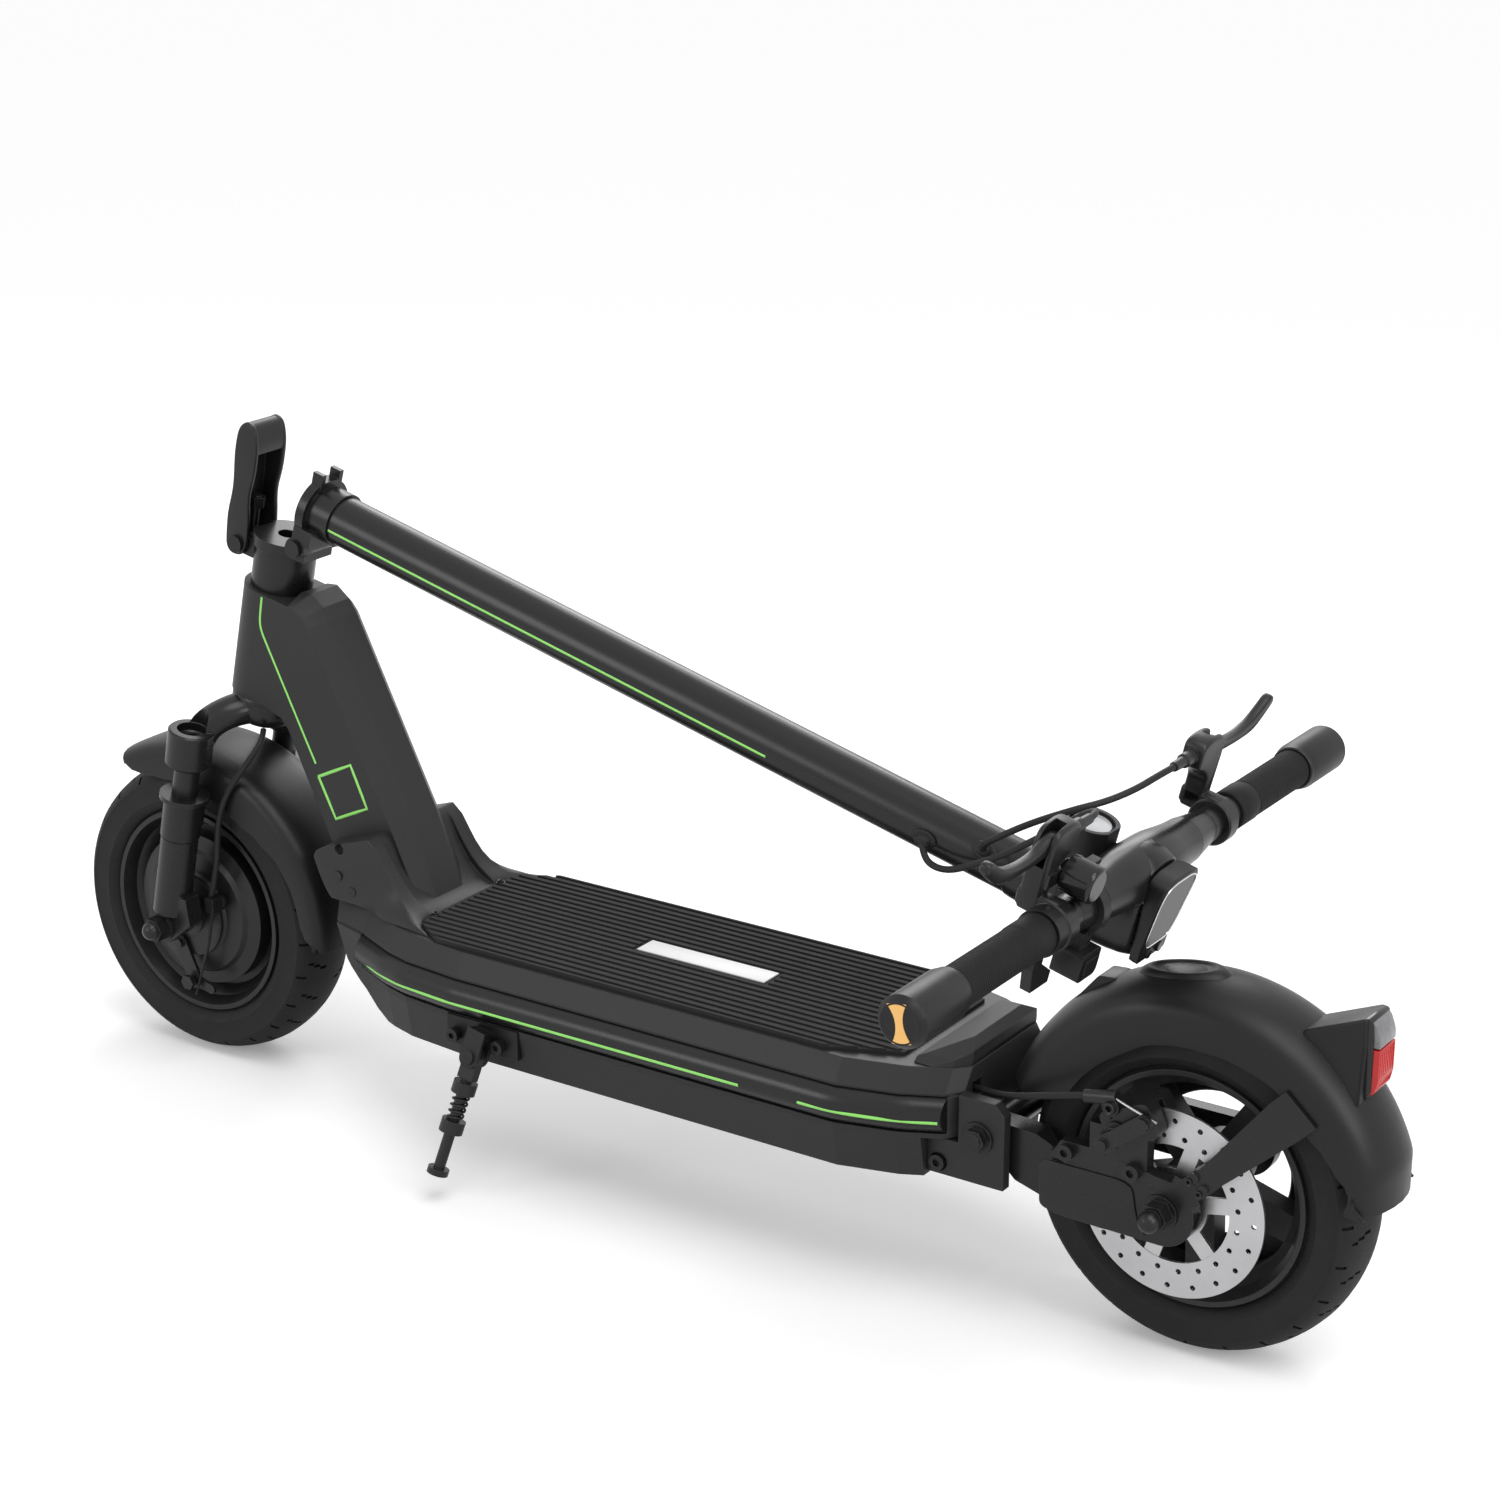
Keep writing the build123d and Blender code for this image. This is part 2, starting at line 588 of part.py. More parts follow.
def fork_stanchions():
    top = -lug_top_drop - 8 - seat
    bottom = -axle_drop + 58
    tube = Pos(leg_x, leg_y, bottom) * Cylinder(stanchion_radius, top - bottom, align=low)
    tube -= Pos(leg_x, leg_y, bottom + 12) * Cylinder(stanchion_radius - 2.5, top - bottom, align=low)
    return [at_steer(s) for s in both(tube)]


dropout_inner, dropout_outer = 52.0, 68.0


def fork_lowers():
    top = -leg_top_drop
    foot = -axle_drop + 13.5
    groove = top - 36
    leg = Pos(leg_x, leg_y, foot) * Cylinder(leg_radius, top - foot, align=low)
    leg += Pos(leg_x, leg_y, top - 2) * Cylinder(leg_flange_radius, 4, align=low)
    leg += Pos(leg_x, leg_y, groove) * Cylinder(leg_radius + 0.8, top - groove, align=low)
    leg -= Pos(leg_x, leg_y, groove - 1.5) * (Cylinder(30, 1.5, align=low)
                                              - Cylinder(leg_radius - 1, 1.5, align=low))
    dropout_points = [(-20, 33), (-28, 12), (-8, -13), (6, -15), (14, -8), (16, 4), (15, 30)]
    face = make_face(Polyline([(leg_x + x, dropout_outer, -axle_drop + z) for x, z in dropout_points],
                              close=True))
    dropout = extrude(face, amount=dropout_outer - dropout_inner, dir=(0, -1, 0))
    guard_tab = Pos(leg_x, leg_y - leg_radius - 1, top - 22) * Box(12, 8, 20)
    side = leg + dropout + guard_tab
    side -= Pos(leg_x, leg_y, -axle_drop + 40) * Cylinder(stanchion_radius + running, 400, align=low)
    side -= Pos(leg_x, 0, -axle_drop) * (Rot(90, 0, 0) * Cylinder(axle_radius + seat, 400))
    return [at_steer(s) for s in both(side)]


def guard(axle, radius, half, skirt, first, last):
    """Mudguard shell round a wheel, from one angle to another above the forward axis."""
    t = guard_thickness
    side = [(skirt, half), (radius - 14, half), (radius - 6, half - 5), (radius - 1, half - 16),
            (radius, half - 26)]
    inner = [(skirt, half - t), (radius - 14 - t / 2, half - t), (radius - 6 - t, half - 5 - t),
             (radius - 1 - t, half - 16 - t / 2), (radius - t, half - 26)]
    points = side + [(r, -y) for r, y in reversed(side)] + [(r, -y) for r, y in inner] + inner[::-1]
    face = Rot(0, -last, 0) * make_face(Polyline(points, close=True))
    return Pos(axle.X, 0, axle.Z) * revolve(face, axis=Axis.Y, revolution_arc=last - first)


front_guard_half = leg_y - leg_radius - 5 - seat


def front_fender():
    shell = guard(front_axle, front_guard_radius, front_guard_half, front_guard_skirt, 52, 178)
    tab = Pos(leg_x, front_guard_half - guard_thickness / 2, -axle_drop + 108) * Box(16, guard_thickness,
                                                                                     36)
    return shell + both(at_steer(tab))


def front_axle_rod():
    x, z = front_axle.X, front_axle.Z
    outer_y = dropout_outer
    rod_part = disc_y(x, z, axle_radius, -outer_y - 16, outer_y + 16)
    spacer = ring_y(x, z, 10, axle_radius - 1, plate_y + 5 + seat, dropout_inner - seat)
    far_spacer = ring_y(x, z, 10, axle_radius - 1, motor_half_width + 12 + loose, dropout_inner - seat)
    side = disc_y(x, z, 12, outer_y + seat, outer_y + 2)
    side += Pos(x, outer_y + 2, z) * (Rot(-90, 0, 0) * extrude(RegularPolygon(10.5, 6), amount=12))
    side += Pos(x, outer_y + 14, z) * Sphere(8)
    return rod_part + both(side) + spacer + mirror(far_spacer, about=Plane.XZ)


# ---- clamp base, fold hardware, lever ----
lever_pin = (36.0, -18.0)        # X and Z in the steering frame
hinge_x = -hinge_back
knuckle_radius, knuckle_half = 8.0, 17.0
ear_radius = 9.0


def clamp_base():
    body = Pos(0, 0, -head_top_drop + 0.6) * Cylinder(clamp_radius, head_top_drop - 0.6, align=low)
    body += Pos(0, 0, -clamp_flange_height) * Cylinder(clamp_radius + 2.5, clamp_flange_height, align=low)
    body += Pos(hinge_x, 0, hinge_up) * (Rot(90, 0, 0) * Cylinder(knuckle_radius, 2 * knuckle_half))
    body += Pos(hinge_x + 6, 0, hinge_up - 9) * Box(20, 2 * knuckle_half, 10)
    ears = Pos(clamp_radius - 4, 0, lever_pin[1]) * Box(lever_pin[0] - clamp_radius + 4, 28, 16,
                                                        align=(Align.MIN, Align.CENTER, Align.CENTER))
    ears += Pos(lever_pin[0], 0, lever_pin[1]) * (Rot(90, 0, 0) * Cylinder(8, 28))
    body += ears
    body -= Pos(0, 0, -head_top_drop - 1) * Cylinder(steerer_radius + seat, head_top_drop - 14, align=low)
    body -= Pos(0, 0, -40) * Cylinder(8, 80, align=low)
    body -= Pos(clamp_radius + 11, 0, 0) * Box(26, 17, 80)
    body -= Pos(hinge_x, 0, hinge_up) * (Rot(90, 0, 0) * Cylinder(hinge_pin_radius + seat, 100))
    for side in (1, -1):
        body -= Pos(hinge_x, side * (knuckle_half + 20),
                    hinge_up) * (Rot(90, 0, 0) * Cylinder(ear_radius + loose, 40))
    body -= Pos(lever_pin[0], 0, lever_pin[1]) * (Rot(90, 0, 0) * Cylinder(4 + seat, 100))
    return at_steer(body)


def fold_hardware():
    pin = Rot(90, 0, 0) * Cylinder(hinge_pin_radius, 57)
    for side in (1, -1):
        pin += Pos(0, side * 27.5, 0) * (Rot(90, 0, 0) * Cylinder(7, 3))
    eye = Rot(90, 0, 0) * Cylinder(4, 41)
    for side in (1, -1):
        eye += Pos(0, side * 20.3, 0) * (Rot(90, 0, 0) * Cylinder(7, 3))
    eye += Rot(90, 0, 0) * Cylinder(7.5, 14)
    eye += Cylinder(4, 39, align=low) + Pos(0, 0, 29) * extrude(RegularPolygon(7.5, 6), amount=9)
    return [at_steer(Pos(hinge_x, 0, hinge_up) * pin), at_steer(Pos(lever_pin[0], 0, lever_pin[1]) * eye)]


lever_half, lever_web = 18.5, 8.5


def fold_lever():
    """Channel-shaped lever, upright beside the clamp while the stem is folded."""
    ox, oz = lever_pin
    front = [(11.5, -8), (13, 8), (13, 30), (11, 50), (14, 80), (10, 98), (3, lever_length)]
    back = [(-5, 100), (-9, 84), (-9, 60), (-7, 40), (-9, 22), (-9, 6), (-7, -7), (0, -10)]
    face = make_face(Polyline([(ox + x, lever_half, oz + z) for x, z in front + back], close=True))
    body = extrude(face, amount=2 * lever_half, dir=(0, -1, 0))
    channel = 2 * (14 + loose)
    body -= Pos(ox + lever_web - 20, 0, oz + 26) * Box(40, channel, 96)
    body -= Pos(ox, 0, oz - 10) * Box(60, channel, 24)
    body -= Pos(ox, 0, oz) * (Rot(90, 0, 0) * Cylinder(4 + running, 100))
    return at_steer(body)


# ---- stem and handlebar ----
def at_stem(shape):
    return stem * shape


stem_x = hinge_back              # stem axis in the stem's own frame
bar_z = bar_along


def along_bar(radius, y_low, y_high, x=None, z=None):
    """Cylinder lying along the handlebar, in the stem's own frame."""
    x = bar_x if x is None else x
    z = bar_z if z is None else z
    return Pos(x, y_low, z) * (Rot(-90, 0, 0) * Cylinder(radius, y_high - y_low, align=low))


hinge_base_z = -3.7


def stem_hinge():
    top = hinge_base_z + hinge_piece_length
    flange = Pos(stem_x, 0, hinge_base_z) * Cylinder(clamp_radius + 2, 8, align=low)
    neck = Pos(stem_x, 0, hinge_base_z) * Cylinder(stem_radius + 2, hinge_piece_length, align=low)
    spigot = Pos(stem_x, 0, top) * Cylinder(stem_radius - stem_wall - seat, 40, align=low)
    ear_gap = knuckle_half + loose
    ears = Rot(90, 0, 0) * Cylinder(ear_radius, 52)
    ears += Pos(9, 0, hinge_base_z + 7) * Box(20, 52, 14)
    ears -= Box(60, 2 * ear_gap, 60)
    ears += Pos(12, 0, hinge_base_z + 12) * Box(14, 52, 12)
    hook = Pos(stem_x + clamp_radius + 2, 0, hinge_base_z) * Box(14, 25, 10, align=low)
    hook -= Pos(stem_x + clamp_radius + 8, 0, hinge_base_z) * Box(12, 16, 60)
    body = flange + neck + spigot + ears + hook
    body -= Rot(90, 0, 0) * Cylinder(knuckle_radius + loose + 0.1, 2 * ear_gap)
    body -= Rot(90, 0, 0) * Cylinder(hinge_pin_radius + running, 100)
    body -= Pos(stem_x, 0, -50) * Cylinder(10, 200, align=low)
    return at_stem(body)


def stem_tube():
    start = hinge_base_z + hinge_piece_length + seat
    tube = Pos(stem_x, 0, start) * Cylinder(stem_radius, stem_tube_end - start, align=low)
    tube -= Pos(stem_x, 0, start - 1) * Cylinder(stem_radius - stem_wall, stem_tube_end - start + 2,
                                                 align=low)
    return at_stem(tube)


head_length = 104.0
display_z = 770.0


def bar_head():
    """Casting that joins the stem tube and the handlebar, with the seats of display and lamp."""
    start = stem_tube_end + seat
    neck = Pos(stem_x, 0, start) * Cylinder(stem_radius + 1, head_length, align=low)
    spigot = Pos(stem_x, 0, start - 40) * Cylinder(stem_radius - stem_wall - seat, 40.5, align=low)
    bridge = Pos(0, 0, bar_z) * Box(bar_x - stem_x + 12, 38, 46,
                                    align=(Align.MIN, Align.CENTER, Align.CENTER))
    bridge = Pos(stem_x - 6, 0, 0) * bridge
    barrel = along_bar(bar_middle_radius + 3, -26, 26)
    body = neck + spigot + fillet(bridge.edges().filter_by(Axis.X), 8) + barrel
    body -= along_bar(bar_middle_radius + seat, -100, 100)
    body -= Pos(0, 0, display_z - 8) * Box(300, 200, 80, align=low)
    return at_stem(body)


def handlebar():
    taper_y, end = 100.0, bar_half_length - 3
    middle = along_bar(bar_middle_radius, -taper_y + 30, taper_y - 30)
    outer = along_bar(bar_radius, taper_y, end)
    cone = loft([Plane.XZ.offset(-taper_y + 30) * (Pos(bar_x, bar_z) * Circle(bar_middle_radius)),
                 Plane.XZ.offset(-taper_y) * (Pos(bar_x, bar_z) * Circle(bar_radius))])
    half = outer + cone
    bar = middle + both(half)
    bar -= along_bar(bar_radius - 2.2, -end - 1, end + 1)
    return at_stem(bar)


def grip():
    ribs = along_bar(grip_radius, grip_inner, grip_outer)
    collar = along_bar(grip_radius + 0.6, collar_inner, grip_inner)
    sleeve = ribs + collar - along_bar(bar_radius + seat, 0, 400)
    return [at_stem(s) for s in both(sleeve)]


def bar_cap():
    start, end = grip_outer + seat, bar_half_length
    cap = along_bar(cap_radius, start, end)
    cap = chamfer(cap.edges().group_by(Axis.Y)[-1], 4)
    cap -= along_bar(bar_radius + seat, 0, end - 3 + seat)
    return [at_stem(s) for s in both(cap)]


lever_pivot = (bar_x + 53.0, lever_clamp_y + 4.0)     # X and |Y| in the stem's own frame
lever_z = bar_z - 19.0


def lever_bracket(side):
    """Brake lever clamp and housing on one side of the handlebar."""
    px, py = lever_pivot
    middle = side * (lever_clamp_y + lever_clamp_width / 2)
    ring = along_bar(bar_radius + 5, middle - lever_clamp_width / 2, middle + lever_clamp_width / 2)
    post = Pos(bar_x + 28, middle, lever_z) * Box(44, lever_clamp_width, 14)
    post += Pos(bar_x + 12, middle, bar_z - 9) * Box(12, lever_clamp_width, 24)
    head = Pos(px + 2, side * (py - 8), lever_z) * Box(20, 34, 16)
    barrel = rod((px, side * (py - 24), lever_z), (px, side * (py - 54), lever_z), 4.5)
    screw_block = Pos(bar_x + 4, middle, bar_z - 20) * Box(10, lever_clamp_width, 12)
    body = ring + post + head + barrel + screw_block
    body -= along_bar(bar_radius + seat, -300, 300)
    body -= Pos(px, side * (py + 6), lever_z) * Box(44, 30, 8.8)
    pin = Pos(px, side * py, lever_z) * Cylinder(2.5, 17)
    return at_stem(body + pin)


def brake_lever(side):
    px, py = lever_pivot
    plan = [(px - 5, py - 6), (px + 6, py - 7), (px + 7, py + 8), (px - 1, py + 24), (px, py + 66),
            (px + 12, py + 83), (px + 16, py + 91), (px + 10, py + 94), (px + 2, py + 84),
            (px - 9, py + 68),
            (px - 9, py + 18), (px - 7, py + 6)]
    points = [(x, side * y) for x, y in plan]
    face = make_face(Polyline([(x, y, lever_z - 4) for x, y in points], close=True))
    blade = extrude(face, amount=8, dir=(0, 0, 1))
    blade -= Pos(px, side * py, lever_z) * Cylinder(2.5 + running, 40)
    return at_stem(blade)


# ---- small controls on the handlebar ----
throttle_y = lever_clamp_y + lever_clamp_width + loose


def throttle():
    """Thumb paddle on a ring that turns round the handlebar."""
    ring = along_bar(bar_radius + 4, throttle_y, collar_inner - loose)
    ring -= along_bar(bar_radius + running, 0, 300)
    fan = [(bar_x - 14, throttle_y), (bar_x - 14, collar_inner - loose), (bar_x - 28, collar_inner - loose),
           (bar_x - 47, throttle_y + 6), (bar_x - 47, throttle_y - 18), (bar_x - 38, throttle_y - 18),
           (bar_x - 26, throttle_y)]
    face = make_face(Polyline([(x, y, bar_z - 4) for x, y in fan], close=True))
    return at_stem(ring + extrude(face, amount=8, dir=(0, 0, 1)))


pod_y = 82.0
switch_x, switch_z = bar_x - 34.0, bar_z + 16.0


def switch_pin(room):
    """Pin that the rocker turns on, or with room its hole in the pod."""
    half = 8.0 + 2 * room
    pin = Rot(0, 90, 0) * Cylinder(1.5 + room, 2 * half)
    return Pos(switch_x - 2, pod_y, switch_z) * pin


def control_pod():
    ring = along_bar(bar_middle_radius + 3, pod_y - 8, pod_y + 1.5)
    arm = Pos(bar_x - 22, pod_y, bar_z + 4) * Box(18, 14, 16)
    box = Pos(bar_x - 36, pod_y, bar_z + 8) * Box(22, 26, 22)
    body = fillet(box.edges().filter_by(Axis.Z), 4) + arm + ring
    body -= along_bar(bar_middle_radius + 8, -300, pod_y - 8.1)
    body -= handlebar_space()
    body -= Pos(switch_x - 2, pod_y, switch_z + 1.5) * Box(12.6, 19.2, 11)
    return at_stem(body - switch_pin(running))


def handlebar_space():
    """The tapered middle of the bar with a seating gap, in the stem's own frame."""
    near = 70.0
    cone = loft([Plane.XZ.offset(-near) * (Pos(bar_x, bar_z) * Circle(bar_middle_radius + seat)),
                 Plane.XZ.offset(-100) * (Pos(bar_x, bar_z) * Circle(bar_radius + seat))])
    return cone


def signal_switch():
    rocker = Pos(switch_x - 2, pod_y, switch_z + 1.2) * Box(12, 18, 7)
    rocker = fillet(rocker.edges().filter_by(Axis.Z), 1.5)
    return at_stem(rocker + switch_pin(0.0))


bell_foot = 3.0
bell_place = (bar_x + 29.0, 98.0, lever_z + 7 + seat + bell_foot + 1)
bell_radius, bell_height = 13.5, 23.0
striker_y = bell_place[1] - 17.5
striker_pin_radius = 1.6


def bell():
    """Bell on a foot that is screwed to the lever clamp's arm and carries the striker's pin."""
    x, y, z = bell_place
    dome = Pos(x, y, z) * Cylinder(bell_radius, bell_height, align=low)
    dome = fillet(dome.edges().group_by(Axis.Z)[-1], 3)
    dome -= Pos(x, y, z - 1) * Cylinder(bell_radius - 2, bell_height - 1, align=low)
    foot_z = z - 1 - bell_foot
    post = Pos(x, y, foot_z) * Cylinder(3, bell_height + bell_foot, align=low)
    reach = lever_clamp_y + lever_clamp_width - 2 - striker_y
    foot = Pos(x, striker_y + reach / 2, foot_z) * Box(11, reach, bell_foot, align=low)
    foot += Pos(x, y, foot_z) * Cylinder(9, bell_foot, align=low)
    foot += Pos(x, striker_y, foot_z) * Cylinder(5.5, bell_foot, align=low)
    pin = Pos(x, striker_y, foot_z) * Cylinder(striker_pin_radius, bell_foot + 10, align=low)
    return at_stem(dome + post + foot + pin)


def bell_striker():
    """Thumb lever beside the bell, turning on the foot's pin."""
    x, y, z = bell_place[0], striker_y, bell_place[2] - 1 + loose
    hub = Pos(x, y, z) * Cylinder(3.4, 7, align=low)
    tongue = Pos(x, y - 9, z) * Box(3.6, 16, 7, align=low)
    hub = hub + tongue - Pos(x, y, z) * Cylinder(striker_pin_radius + running, 40)
    return at_stem(hub)


def display():
    top, low_z = display_z, display_z - 8 + seat
    side = [(15, low_z), (15, top - 2), (24, top + 0.5), (77, top + 6.5), (82, top + 1), (80, low_z)]
    body = prism_xz(side, -27, 27)
    taper = prism_xy([(14, 20), (24, 20.7), (77, 26.5), (83, 24), (83, -24), (77, -26.5), (24, -20.7),
                      (14, -20)],
                     top - 60, top + 40)
    body &= taper
    for y in (8, -8):
        body -= Pos(20, y, top - 6.2) * Cylinder(4 + running, 20, align=low)
    return at_stem(body)


def display_button(side):
    button = Pos(20, side * 8, display_z - 4.8) * Cylinder(4, 6.4, align=low)
    return at_stem(chamfer(button.edges().group_by(Axis.Z)[-1], 0.5))


lamp_z = 700.0
lamp_radius = 20.0


def headlight():
    start, end = stem_x + stem_radius + 1 + seat, bar_x + 20.0
    cup = Pos(start, 0, lamp_z) * (Rot(0, 90, 0) * Cylinder(lamp_radius, end - start, align=low))
    cup &= Pos(start, 0, lamp_z) * Box(200, 100, 35.6, align=(Align.MIN, Align.CENTER, Align.CENTER))
    cup -= Pos(end - 10, 0, lamp_z) * (Rot(0, 90, 0) * Cylinder(lamp_radius - 3.5, 30, align=low))
    lens = Pos(end - 10 + seat, 0,
               lamp_z) * (Rot(0, 90, 0) * Cylinder(lamp_radius - 3.5 - seat, 7, align=low))
    lens &= Pos(start, 0, lamp_z) * Box(200, 100, 28, align=(Align.MIN, Align.CENTER, Align.CENTER))
    return [at_stem(cup), at_stem(lens)]


def cable(points, radius, place=None):
    """Cable through points given in a place's frame: straight runs joined by large arcs."""
    spots = [Vector(*p) for p in points]
    runs = [(b - a).length for a, b in zip(spots, spots[1:])]
    bends = []
    for i in range(1, len(spots) - 1):
        turn = (spots[i] - spots[i - 1]).get_angle(spots[i + 1] - spots[i])
        bends.append(0.45 * min(runs[i - 1], runs[i]) / tan(radians(turn / 2)))
    path = FilletPolyline(*spots, radius=bends)
    tube = sweep(Plane(path @ 0, z_dir=path % 0) * Circle(radius), path)
    print("bend radii", [round(b, 1) for b in bends], "volume over section times length",
          round(tube.volume / (pi * radius ** 2 * path.length), 4))
    return place * tube if place else tube


# ---- rear end ----
pivot_xz = (swing_pivot.X, swing_pivot.Z)
axle_xz = (rear_axle.X, rear_axle.Z)
arm_top = 146.0
arm_bottom = 102.5
dropout_radius = 25.0
arm_inner = arm_outer - 11.0
narrow_outer, narrow_inner = 55.0, 37.0

brace_foot = (rear_axle.X - 29.0, rear_axle.Z + 31.0)


def swing_side():
    px, pz = pivot_xz
    ax, az = axle_xz
    return [(px + 9, pz - 7), (px + 8, pz + 8), (px - 2, pz + 11), (px - 40, pz + 9), (px - 54, arm_top),
            (ax, arm_top), (ax - 10, az), (ax, arm_bottom), (px - 53, arm_bottom + 1), (px - 24, pz - 31),
            (px - 2, pz - 11)]


def swingarm():
    px, pz = pivot_xz
    front = px - 53
    outer = [(px + 9, narrow_outer), (front, narrow_outer), (front - 17, arm_outer),
             (rear_axle.X - 40, arm_outer)]
    inner = [(rear_axle.X - 40, arm_inner), (front - 17, arm_inner), (front + 12, narrow_inner),
             (px + 9, narrow_inner)]
    plan = prism_xy(outer + inner, 60, 200)
    arm = prism_xz(swing_side(), 0, arm_outer) & plan
    end = disc_y(*axle_xz, dropout_radius, arm_inner, arm_outer)
    end += hull_bar(axle_xz, brace_foot, 9, arm_inner, arm_outer)
    end -= Pos(rear_axle.X - 2 - seat, 0, arm_top) * Box(200, 300, 60,
                                                         align=(Align.MIN, Align.CENTER, Align.MIN))
    half = arm + end
    hub = disc_y(px, pz, 11, -narrow_outer, narrow_outer)
    both_arms = half + mirror(half, about=Plane.XZ) + hub
    both_arms -= disc_y(px, pz, swing_pivot_radius + running, -100, 100)
    return both_arms - disc_y(*axle_xz, axle_radius + seat, -100, 100)


def rear_axle_rod():
    x, z = axle_xz
    bar = disc_y(x, z, axle_radius, -arm_outer - 16, arm_outer + 16)
    side = disc_y(x, z, 13, arm_outer + seat, arm_outer + 2)
    side += Pos(x, arm_outer + 2, z) * (Rot(-90, 0, 0) * extrude(RegularPolygon(10.5, 6), amount=11))
    side += Pos(x, arm_outer + 13 + 4, z) * Sphere(8)
    left = ring_y(x, z, 9, axle_radius - 1, hub_left - 2 + loose, arm_inner - seat)
    right = ring_y(x, z, 9, axle_radius - 1, hub_right - 2 + loose, arm_inner - seat)
    return bar + both(side) + left + mirror(right, about=Plane.XZ)


hub_left, hub_right = 50.0, 36.0
hub_radius = 22.0


def rear_rim():
    x, z = axle_xz
    web_outer = bead_radius - 8 - rim_wall / 2
    rim = rim_barrel(rear_axle) + disc_y(x, z, hub_radius, -hub_right, hub_left)
    for i in range(5):
        spoke = Pos((web_outer + hub_radius) / 2 - 1, 0, 0) * Box(web_outer - hub_radius + 4, 18, 22)
        rim += Pos(x, 0, z) * (Rot(0, 72 * i + 20, 0) * spoke)
    rim -= disc_y(x, z, wheel_bearing_outer, hub_left - 2 - wheel_bearing_width, 100)
    rim -= disc_y(x, z, wheel_bearing_outer, -100, 2 + wheel_bearing_width - hub_right)
    return rim - disc_y(x, z, axle_radius + 3, -100, 100)


def rear_bearings():
    x, z = axle_xz
    left = ring_y(x, z, wheel_bearing_outer - seat / 2, axle_radius + running,
                  hub_left - 2 - wheel_bearing_width + seat, hub_left - 2)
    right = ring_y(x, z, wheel_bearing_outer - seat / 2, axle_radius + running,
                   2 - hub_right, 2 + wheel_bearing_width - hub_right - seat)
    return [left, right]


rotor_hole = 2.0


def brake_rotor():
    x, z = axle_xz
    low_y, high_y = rotor_y - rotor_thickness / 2, rotor_y + rotor_thickness / 2
    disc = ring_y(x, z, rotor_radius, rotor_inner, low_y, high_y)
    holes = []
    for radius, offset in ((62.3, 0), (50.6, 9)):
        for i in range(20):
            angle = radians(18 * i + offset)
            holes.append(disc_y(x + radius * cos(angle), z + radius * sin(angle), rotor_hole, low_y - 1,
                                high_y + 1))
    disc -= holes
    for i in range(6):
        spoke = Pos(rotor_inner / 2 + 8, rotor_y - 0.6, 0) * Box(rotor_inner - 12, 2.4, 12)
        disc += Pos(x, 0, z) * (Rot(0, 60 * i + 12, 0) * spoke)
    disc += disc_y(x, z, 27, hub_left + seat, rotor_y + 0.6)
    disc -= disc_y(x, z, wheel_bearing_outer, 0, 100)
    return disc


def caliper_bracket():
    ax = rear_axle.X
    top = arm_top + seat
    plate = [(ax + 87, top), (ax + 78, top + 15), (ax + 53, top + 15), (ax - 2, top + 6), (ax - 2, top)]
    return prism_xz(plate, arm_inner + 1, arm_outer)


caliper_angle = 65.5
caliper_half = 20.0
ferrule = Vector(rear_axle.X + 60.5, 69, rear_axle.Z + 71.5)
ferrule_end = ferrule + Vector(-24, 0, 4.5)
caliper_pivot = (rear_axle.X + 41.5, rear_axle.Z + 43.5)
caliper_face = 72.0


def disc_caliper():
    x, z = axle_xz
    block = Pos(64, 54, 0) * Box(26, 34, 2 * caliper_half)
    block = fillet(block.edges().filter_by(Axis.Y), 5)
    block -= Pos(60, rotor_y, 0) * Box(2 * (rotor_radius + 3 - 60), 6, 100)
    block = Pos(x, 0, z) * (Rot(0, -caliper_angle, 0) * block)
    block -= ring_y(x, z, 49, 10, 30, 100)
    top = arm_top + seat
    foot = [(x + 56, top + 15 + seat), (x + 56, top + 35), (x + 12, top + 35), (x + 12, top + 9)]
    block += prism_xz(foot, arm_inner, arm_outer) - caliper_room()
    block += disc_y(*caliper_pivot, 8, arm_inner + 2, caliper_face)
    block += rod(ferrule, ferrule_end, 5) + rod(ferrule_end + Vector(7, 0, -1), ferrule_end
                                                + Vector(5.5, 0, -16), 4)
    block -= disc_y(*caliper_pivot, 4 + running, arm_inner + 6, 100)
    pads = []
    for low_y in (rotor_y - 3 + seat, rotor_y + rotor_thickness / 2 + 0.4):
        pad = Pos(61, low_y + 0.7, 0) * Box(15, 1.4, 24)
        pads.append(Pos(x, 0, z) * (Rot(0, -caliper_angle, 0) * pad))
    return [block] + pads


def caliper_room():
    """Bracket plate with a seating gap, so that the caliper's foot stands on it."""
    ax = rear_axle.X
    top = arm_top + seat
    return prism_xz([(ax + 87, top), (ax + 78, top + 15 + seat), (ax + 53, top + 15 + seat),
                     (ax - 2, top + 6 + seat), (ax - 2, top)], 0, 100)


caliper_arm_end = (rear_axle.X + 11.5, rear_axle.Z + 67)


def caliper_arm():
    y = caliper_face + 4.5
    link = hull_bar(caliper_pivot, caliper_arm_end, 6, y, y + 3)
    shaft = disc_y(*caliper_pivot, 4, arm_inner + 8, y + 6) + disc_y(*caliper_pivot, 7, caliper_face
                                                                     + loose, y)
    screw = disc_y(*caliper_arm_end, 5, y + 3, y + 7)
    return link + shaft + screw


